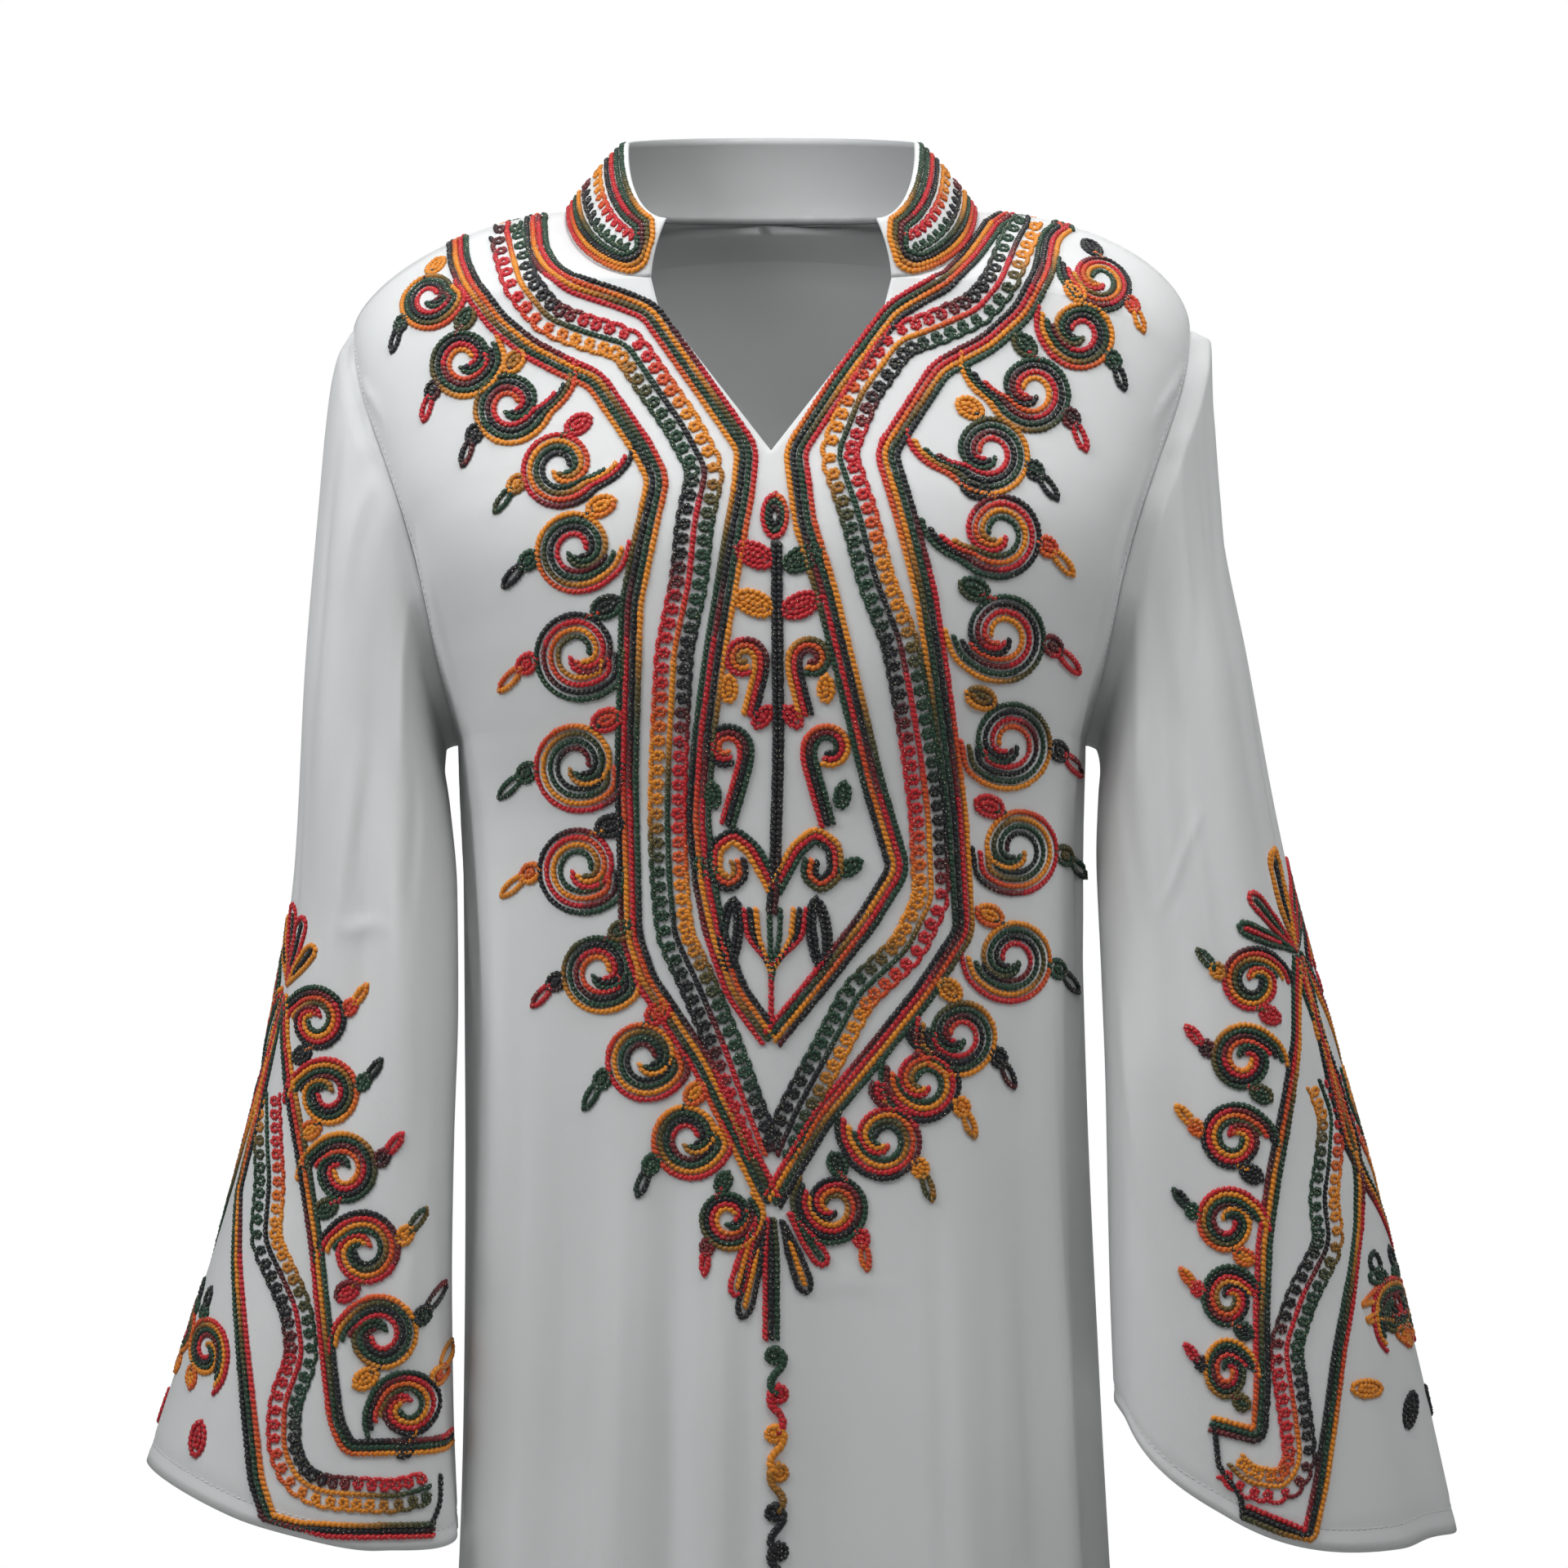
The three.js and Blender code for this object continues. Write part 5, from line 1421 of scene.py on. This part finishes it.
# %% Draw the sleeves
# Points are across and up. Scrolls: place, size, tilt, dye, how much narrower they look where the sleeve
# turns away. Petals: tip, dyes outside and inside. Curl: place, size, dye. Drops: place, lean, dye.
SLEEVE_ART = {
    "sleeve_right": {
        "axis": ((-270, -433), (-341, -694)),
        "outer": ((-271, -440), (-270, -463), (-266, -488), (-258, -524), (-249, -572), (-243, -621),
                  (-237, -668), (-230, -682), (-176, -682)),
        "inner": ((-272, -440), (-279, -468), (-286, -502), (-297, -548), (-296, -585), (-290, -633),
                  (-281, -701), (-272, -726), (-184, -728)),
        "trail": ((-281, -492), (-279, -522), (-277, -540), (-279, -572), (-268, -592), (-260, -608),
                  (-256, -633), (-266, -660), (-266, -684), (-258, -700), (-245, -706), (-225, -707),
                  (-205, -709), (-185, -704)),
        "scrolls": ((-251, -450, 0.80, 12, 0.56, 1), (-244, -490, 0.84, 10, 0.04, 1),
                    (-234, -531, 0.88, 10, 0.30, 1), (-222, -574, 0.92, 12, 0.76, 1),
                    (-213, -620, 0.94, 16, 0.12, 1), (-199, -659, 0.84, 34, 0.60, 1)),
        "petals": ((-260, -394, 0.04, 0.84), (-252, -410, 0.30, 0.80)),
        "curl": (-312, -634, 0.74, 0.04), "drops": ((-316, -682, 80, 0.02),),
        "close": ((-181, -699), (-181, -714), (-186, -727)), "hand": 1},
    "sleeve_left": {
        "axis": ((292, -414), (372, -690)),
        "outer": ((292, -418), (290, -443), (289, -463), (283, -494), (274, -535), (268, -571), (266, -610),
                  (266, -649), (264, -674), (238, -667)),
        "inner": ((292, -418), (299, -432), (304, -457), (314, -484), (325, -520), (327, -543), (325, -566),
                  (318, -597), (310, -631), (304, -667), (298, -701), (291, -729), (256, -714)),
        "trail": ((303, -484), (311, -505), (307, -530), (303, -548), (306, -572), (289, -600),
                  (279, -627), (284, -662), (287, -688), (278, -702), (256, -698), (247, -688)),
        "scrolls": ((264, -428, 0.80, 8, 0.80, 1), (258, -470, 0.82, 8, 0.30, 1),
                    (252, -513, 0.82, 8, 0.62, 1), (248, -558, 0.80, 8, 0.02, 0.95),
                    (248, -599, 0.76, 6, 0.52, 0.86), (247, -638, 0.74, 4, 0.28, 0.76)),
        "petals": ((278, -357, 0.30, 0.80), (262, -380, 0.03, 0.58), (255, -398, 0.56, 0.02)),
        "curl": (345, -612, 0.74, 0.02), "drops": ((326, -652, -8, 0.30), (354, -668, 75, 0.80)),
        "close": ((240, -669), (242, -690), (254, -706), (255, -721)), "hand": -1}}

for surface, art in SLEEVE_ART.items():
    hand = art["hand"]
    band(surface, path_through(art["outer"]), (0.66, 0.02, 0.30), gap=3.3)
    band(surface, path_through(art["inner"]), (0.26, 0.04, 0.66), gap=3.3)
    trail(surface, path_through(art["trail"], 14), 0.04, size=0.92)
    for across, up, size, tilt, dye, narrow in art["scrolls"]:
        scroll(surface, (across, up), size, tilt, dye, hand=hand, rise=-1, narrow=narrow)
    for across, up, outer_dye, inner_dye in art["petals"]:
        petal(surface, art["axis"][0], (across, up), 7, outer_dye, inner_dye)
    across, up, size, dye = art["curl"]
    scroll(surface, (across, up), size, 70, dye, hand=-hand, rise=-1, narrow=0.8)
    row(surface, path_through(art["close"], 6), dye=0.82, run=900)
    for across, up, lean, dye in art["drops"]:
        for long_half, short_half in ((9, 4.0), (5, 1.4)):
            row(surface, ring((across, up), long_half, short_half, lean), dye=dye, run=900)
print("rows so far:", len(plan))

# %% [markdown]
# ## Sew the plan
# Every row now finds its place on the cloth. Stitches sit at an even pitch along the cloth itself, each with
# two directions: along the row and away from the cloth. Rows on a sleeve are sewn twice, the second time on
# its far side.

# %% Find the stitches' places


def places_of(surface, rows):
    """The rows' (u, v), found together, then split again."""
    seen = [item for item in rows if item["seen"]]
    if seen:
        steps = [item["path"] for item in seen]
        u, v = find(surface, np.vstack(steps))
        ends = np.cumsum([len(path) for path in steps])[:-1]
        for item, part_u, part_v in zip(seen, np.split(u, ends), np.split(v, ends)):
            item["place"] = np.stack([part_u, part_v], -1)
    for item in rows:
        if not item["seen"]:
            item["place"] = item["path"]


def thin_path(path, step):
    """The path with points no closer than the step, measured along it."""
    gone = gone_along(path)
    return read_at(np.linspace(0, gone[-1], max(5, int(gone[-1] / step) + 1)), gone, path)


def row_ways(points, ends):
    """The direction along each row, by differences inside the row."""
    return unit(np.vstack([np.gradient(part, axis=0) for part in np.split(points, ends)]))


def moved_aside(surface, place, ends, aside):
    """The (u, v) that lie a distance aside on the cloth. The wanted point is the sideways step from the
    path, and a few damped least-squares steps, two equations for two unknowns, lead to the place that is
    nearest to it."""
    place = np.stack([place[:, 0], np.clip(place[:, 1], *V_LIMITS[surface])], -1)
    point, _, _, normal = slopes_at(surface, place[:, 0], place[:, 1])
    wanted = point + np.cross(normal, row_ways(point, ends)) * aside[:, None]
    for _ in range(1 if surface == "front" else 3):
        here, slope_u, slope_v, _ = slopes_at(surface, place[:, 0], place[:, 1])
        miss = wanted - here
        uu, uv, vv = (slope_u ** 2).sum(1), (slope_u * slope_v).sum(1), (slope_v ** 2).sum(1)
        uu, vv = uu * 1.02, vv * 1.02
        to_u, to_v = (slope_u * miss).sum(1), (slope_v * miss).sum(1)
        area = uu * vv - uv * uv
        place = place + np.stack([(to_u * vv - to_v * uv) / area, (to_v * uu - to_u * uv) / area], -1)
        place[:, 1] = np.clip(place[:, 1], *V_LIMITS[surface])
    return place


# A row that ends up without length, at the edge of what shows, has stitches that point upwards.
NO_STEP = 1e-6
UPWARDS = (0.0, 0.0, 1.0)


def stitches_of(surface, rows):
    """Place, direction along the row and outwards, dye and size of every stitch, at each row's pitch."""
    ends = np.cumsum([len(item["place"]) for item in rows])[:-1]
    place = np.vstack([item["place"] for item in rows])
    aside = np.concatenate([np.full(len(item["place"]), float(item["aside"])) for item in rows])
    place = moved_aside(surface, place, ends, aside)
    point, _, _, normal = slopes_at(surface, place[:, 0], place[:, 1])
    made = {"point": [], "way": [], "out": [], "dye": [], "size": []}
    for item, part, up in zip(rows, np.split(point, ends), np.split(normal, ends)):
        gone = gone_along(part)
        stops = np.linspace(0, gone[-1], max(3, int(round(gone[-1] / item["pitch"])) + 1))
        here = read_at(stops, gone, part)
        made["point"].append(here)
        made["out"].append(unit(read_at(stops, gone, up)))
        way = np.gradient(here, axis=0)
        still = np.linalg.norm(way, axis=1, keepdims=True) < NO_STEP
        made["way"].append(unit(np.where(still, UPWARDS, way)))
        made["dye"].append(np.mod(item["dye"] + stops / item["run"], 1.0))
        made["size"].append(np.full(len(stops), item["size"]))
    return {name: np.concatenate(parts) for name, parts in made.items()}


for item in plan:
    if item["seen"]:
        item["path"] = thin_path(item["path"], 0.9 if item["pitch"] < 2.3 else 1.8)

sewn = {}
for surface in ("front", "back", "sleeve_right", "sleeve_left", "collar"):
    rows = [item for item in plan if item["surface"] == surface]
    places_of(surface, rows)
    if surface.startswith("sleeve"):
        axis_u, axis_v = find(surface, path_through(SLEEVE_ART[surface]["axis"], 2))
        order = np.argsort(axis_v)
        for item in list(rows):
            u, v = item["place"].T
            mirrored = 2 * np.interp(v, axis_v[order], axis_u[order]) - u
            rows.append(dict(item, place=np.stack([mirrored, v], -1), aside=-item["aside"]))
    sewn[surface] = stitches_of(surface, rows)
    print(surface, len(rows), "rows,", len(sewn[surface]["dye"]), "stitches")

seam_rows = [item for item in plan if item["surface"] == "front_cut"]
places_of("front_cut", seam_rows)
near_seam = stitches_of("front_cut", seam_rows)
sewn["front"] = {name: np.concatenate([sewn["front"][name], near_seam[name]]) for name in near_seam}
print("stitches between the shoulder seams and the front's lines:", len(near_seam["dye"]))

# %% [markdown]
# ## The thread and its stitches
# One stitch is a small bead, longer than wide, that lies slantwise across its row, so a row of them looks
# like a twisted cord. Beads of one colour on one panel make one piece, which keeps every piece well under
# two hundred thousand triangles. The dye rides along as an attribute, and a shader group turns it into the
# round of colours: red, orange, green, black.

# %% Make the thread
BEAD_SIDES = 5
BEAD_LENGTH, BEAD_WIDTH, BEAD_HEIGHT = 5.0, 3.0, 2.4
SLANT, SLANT_SPREAD = 34.0, 4.0  # degrees
SIZE_SPREAD = 0.05
RANDOM = np.random.default_rng(11)

# Each colour's name, and where its stretch of the round starts and ends.
COLOURS = (("red", 0.0, 0.235), ("orange", 0.235, 0.465), ("green", 0.465, 0.755), ("black", 0.755, 0.965),
           ("red", 0.965, 1.001))
DYES = ((0.00, (0.56, 0.010, 0.024)), (0.17, (0.66, 0.018, 0.024)), (0.25, (0.72, 0.11, 0.010)),
        (0.31, (0.88, 0.30, 0.014)), (0.42, (0.82, 0.28, 0.014)), (0.49, (0.12, 0.085, 0.018)),
        (0.55, (0.016, 0.052, 0.026)), (0.70, (0.018, 0.068, 0.036)), (0.79, (0.009, 0.011, 0.014)),
        (0.92, (0.012, 0.011, 0.014)), (0.99, (0.22, 0.012, 0.018)))


def make_dye_group():
    """The round of colours as one ramp from a value between 0 and 1."""
    tree, given, gives = group_with(
        "round_of_dyes", (("Dye", "NodeSocketFloat", 0.5),), (("Colour", "NodeSocketColor"),))
    colour = colour_ramp(tree, given.outputs["Dye"], DYES)
    tree.links.new(colour, gives.inputs["Colour"])
    return tree


DYE_GROUP = make_dye_group()


def make_thread(name, roughness):
    """Thread: colour from the dye, darkened and lightened by fine fibres, which also raise it a little."""
    material, tree, shader, where = new_material(name)
    dye = tree.nodes.new("ShaderNodeAttribute")
    dye.attribute_name = "dye"
    group = tree.nodes.new("ShaderNodeGroup")
    group.node_tree = DYE_GROUP
    tree.links.new(dye.outputs["Fac"], group.inputs["Dye"])
    vary = place_group(tree, VARIATION, {"Large": 60.0, "Small": 1300.0}, where.outputs["Object"])
    shade = tree.nodes.new("ShaderNodeMix")
    shade.data_type = "RGBA"
    shade.blend_type = "MULTIPLY"
    shade.inputs["Factor"].default_value = 0.75
    tree.links.new(group.outputs["Colour"], shade.inputs["A"])
    tree.links.new(colour_ramp(tree, vary.outputs["Fine"], ((0.30, (0.55, 0.55, 0.55)), (0.62, (1, 1, 1)))),
                   shade.inputs["B"])
    tree.links.new(shade.outputs["Result"], shader.inputs["Base Color"])
    add_relief(tree, shader, vary.outputs["Fine"], 0.6, 0.0004)
    set_inputs(shader, {"Roughness": roughness, "Sheen Weight": 0.12, "Specular IOR Level": 0.4})
    return material


THREADS = {name: make_thread(f"thread_{name}", rough)
           for name, rough in (("red", 0.55), ("orange", 0.55), ("green", 0.6), ("black", 0.5))}


def bead_shape():
    """A bead with two rings of points between its two ends, in halves of its length, width and height."""
    turn = np.arange(BEAD_SIDES) * 2 * np.pi / BEAD_SIDES
    rings = [np.stack([np.full(BEAD_SIDES, x), r * np.cos(turn), r * np.sin(turn)], -1)
             for x, r in ((-0.42, 0.98), (0.42, 0.98))]
    points = np.vstack([[[-1, 0, 0]], *rings, [[1, 0, 0]]])
    k = np.arange(BEAD_SIDES)
    after = (k + 1) % BEAD_SIDES
    first = np.stack([np.zeros_like(k), 1 + after, 1 + k], -1)
    side = np.stack([1 + k, 1 + after, 1 + BEAD_SIDES + after, 1 + BEAD_SIDES + k], -1)
    last = np.stack([np.full_like(k, 1 + 2 * BEAD_SIDES), 1 + BEAD_SIDES + k, 1 + BEAD_SIDES + after], -1)
    return points, first, side, last


def repeated(name, centres, axes, halves, shape, faces):
    """One mesh of the shape at every centre: each of its points goes along the three axes by its own
    coordinates times half the sizes."""
    spots = centres[:, None] + sum(
        axis[:, None] * shape[None, :, k:k + 1] * np.asarray(half)[..., None]
        for k, (axis, half) in enumerate(zip(axes, halves)))
    base = (np.arange(len(centres)) * len(shape))[:, None, None]
    moved = [(part[None] + base).reshape(-1, part.shape[1]) for part in faces]
    return mesh_of(name, spots.reshape(-1, 3) * MM, moved)


def bead_mesh(name, stitches, length, width, height, slant, sink=0.28):
    """A bead for every stitch, turned by the slant in the cloth's own plane and a little sunk into it."""
    points, first, side, last = bead_shape()
    count = len(stitches["dye"])
    way, out = stitches["way"], stitches["out"]
    across = unit(np.cross(out, way))
    way = np.cross(across, out)
    angle = np.radians(slant + RANDOM.normal(0, SLANT_SPREAD, count) * (slant != 0))[:, None]
    along = way * np.cos(angle) + across * np.sin(angle)
    aside = across * np.cos(angle) - way * np.sin(angle)
    scale = (stitches["size"] * (1 + RANDOM.normal(0, SIZE_SPREAD, count)))[:, None]
    centre = stitches["point"] + out * scale * height * (0.5 - sink)
    halves = [size / 2 * scale for size in (length, width, height)]
    mesh = repeated(name, centre, (along, aside, out), halves, points, (first, last, side))
    point_values(mesh, "dye", np.repeat(stitches["dye"], len(points)))
    mesh.shade_smooth()
    return mesh


def ride_thread(name, mesh, material):
    """The thread's piece rides on the robe's one body and wears the given material."""
    piece = put_in_scene(mesh, name)
    piece.data.materials.append(material)
    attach(piece, "root")
    return piece


def some(stitches, chosen):
    return {name: values[chosen] for name, values in stitches.items()}


total = 0
for surface, stitches in sewn.items():
    for colour in ("red", "orange", "green", "black"):
        stretches = [(low, high) for dyed, low, high in COLOURS if dyed == colour]
        chosen = np.any([(stitches["dye"] >= low) & (stitches["dye"] < high) for low, high in stretches], 0)
        if chosen.any():
            name = f"{surface}_{colour}_thread"
            mesh = bead_mesh(name, some(stitches, chosen), BEAD_LENGTH, BEAD_WIDTH, BEAD_HEIGHT, SLANT)
            ride_thread(name, mesh, THREADS[colour])
            total += chosen.sum()
print(total, "stitches,", total * BEAD_SIDES * 4, "triangles")

# %% [markdown]
# ## Glints
# A metallic strand is plied into the thread and flashes where it comes up, here on half of the stitches. A
# glint is a sliver about a millimetre long, so a tiny four-sided shape is enough. It is real metal in the
# shader, and its brightness comes from the lights, so it changes with the view as the real one does.

# %% Make the glints
GLINT_LENGTH, GLINT_WIDTH = 1.25, 0.62
GLINT_SHARE = 0.5  # of the stitches
GLINT_SIDEWAYS = 0.9


def make_varied(name, sizes, output, stops, values):
    """A material whose colour sways between two stops with the variation; its other values are plain."""
    material, tree, shader, where = new_material(name)
    vary = place_group(tree, VARIATION, sizes, where.outputs["Object"])
    tree.links.new(colour_ramp(tree, vary.outputs[output], stops), shader.inputs["Base Color"])
    set_inputs(shader, values)
    return material


def glint_mesh(name, stitches):
    """Four-sided slivers that lie on top of the stitches, turned at random in the cloth's plane."""
    count = len(stitches["dye"])
    corners = np.array(((1, 0, -0.3), (-1, 0, -0.3), (0, 1, -0.3), (0, -1, -0.3), (0, 0, 0.7)))
    faces = np.array(((0, 2, 4), (2, 1, 4), (1, 3, 4), (3, 0, 4), (0, 3, 2), (3, 1, 2)))
    way, out = stitches["way"], stitches["out"]
    across = np.cross(out, way)
    angle = RANDOM.uniform(0, np.pi, count)[:, None]
    along = way * np.cos(angle) + across * np.sin(angle)
    aside = across * np.cos(angle) - way * np.sin(angle)
    shift = RANDOM.uniform(-GLINT_SIDEWAYS, GLINT_SIDEWAYS, count)[:, None]
    lift = (BEAD_HEIGHT * 0.70 * stitches["size"])[:, None]
    centre = stitches["point"] + out * lift + across * shift * stitches["size"][:, None]
    halves = (GLINT_LENGTH / 2, GLINT_WIDTH / 2, GLINT_WIDTH / 2)
    return repeated(name, centre, (along, aside, out), halves, corners, [faces])


STRAND = make_varied(
    "metal_strand", {"Large": 40.0, "Small": 900.0}, "Broad",
    ((0.3, (0.90, 0.76, 0.45)), (0.7, (0.95, 0.92, 0.80))), {"Metallic": 1.0, "Roughness": 0.28})
for surface, stitches in sewn.items():
    chosen = RANDOM.random(len(stitches["dye"])) < GLINT_SHARE
    mesh = glint_mesh(f"{surface}_glints", some(stitches, chosen))
    ride_thread(f"{surface}_glints", mesh, STRAND)
    print(surface, chosen.sum(), "glints")

# %% [markdown]
# ## Seams and topstitches
# White thread closes the robe: a row beside each armhole on the body, a row above the cuffs' and the hem's
# edge. These stitches are the same bead, thin, straight and spaced apart, in the cloth's own white.

# %% Sew the topstitches
TOP_PITCH = 3.8
TOP_LENGTH, TOP_WIDTH, TOP_HEIGHT, TOP_SINK = 2.9, 0.62, 0.5, 0.2
BESIDE_ARMHOLE = 0.948  # the share of the way from the middle to the armhole's edge


def plain_row(u, v):
    """A row given on the cut cloth, as a plan entry."""
    place = np.stack(np.broadcast_arrays(np.asarray(u, float), np.asarray(v, float)), -1)
    return {"place": place, "aside": 0.0, "dye": 0.0, "run": 1e6, "size": 1.0, "pitch": TOP_PITCH}


down = np.linspace(14, 250, 160)
BODY_ROWS = [plain_row(BESIDE_ARMHOLE, down), plain_row(-BESIDE_ARMHOLE, down),
             plain_row(np.linspace(-0.985, 0.985, 400), DOWN_HEM - HEM_FOLD)]
CUFF_ROWS = [plain_row(np.linspace(2, 358, 300), 1 - CUFF_HEM / SLEEVE_LENGTH)]
WHITE_THREAD = make_varied(
    "white_thread", {"Large": 80.0, "Small": 2000.0}, "Fine",
    ((0.3, (0.62, 0.63, 0.63)), (0.7, (0.80, 0.81, 0.81))), {"Roughness": 0.5})
for surface, rows in (("front_cut", BODY_ROWS), ("back", BODY_ROWS), ("sleeve_right", CUFF_ROWS),
                      ("sleeve_left", CUFF_ROWS)):
    name = surface.replace("_cut", "") + "_topstitch"
    stitches = stitches_of(surface, rows)
    mesh = bead_mesh(name, stitches, TOP_LENGTH, TOP_WIDTH, TOP_HEIGHT, 0.0, TOP_SINK)
    ride_thread(name, mesh, WHITE_THREAD)
    print(surface, len(stitches["dye"]), "topstitches")

# %% [markdown]
# ## The size
# The CAD model's box and the dressed robe's box are measured and printed side by side.

# %% Finish
size = {"cad": [list(map(float, corner)) for corner in cad_box],
        "visual": [list(map(float, corner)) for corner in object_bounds()]}
print("CAD box", size["cad"], "visual box", size["visual"])
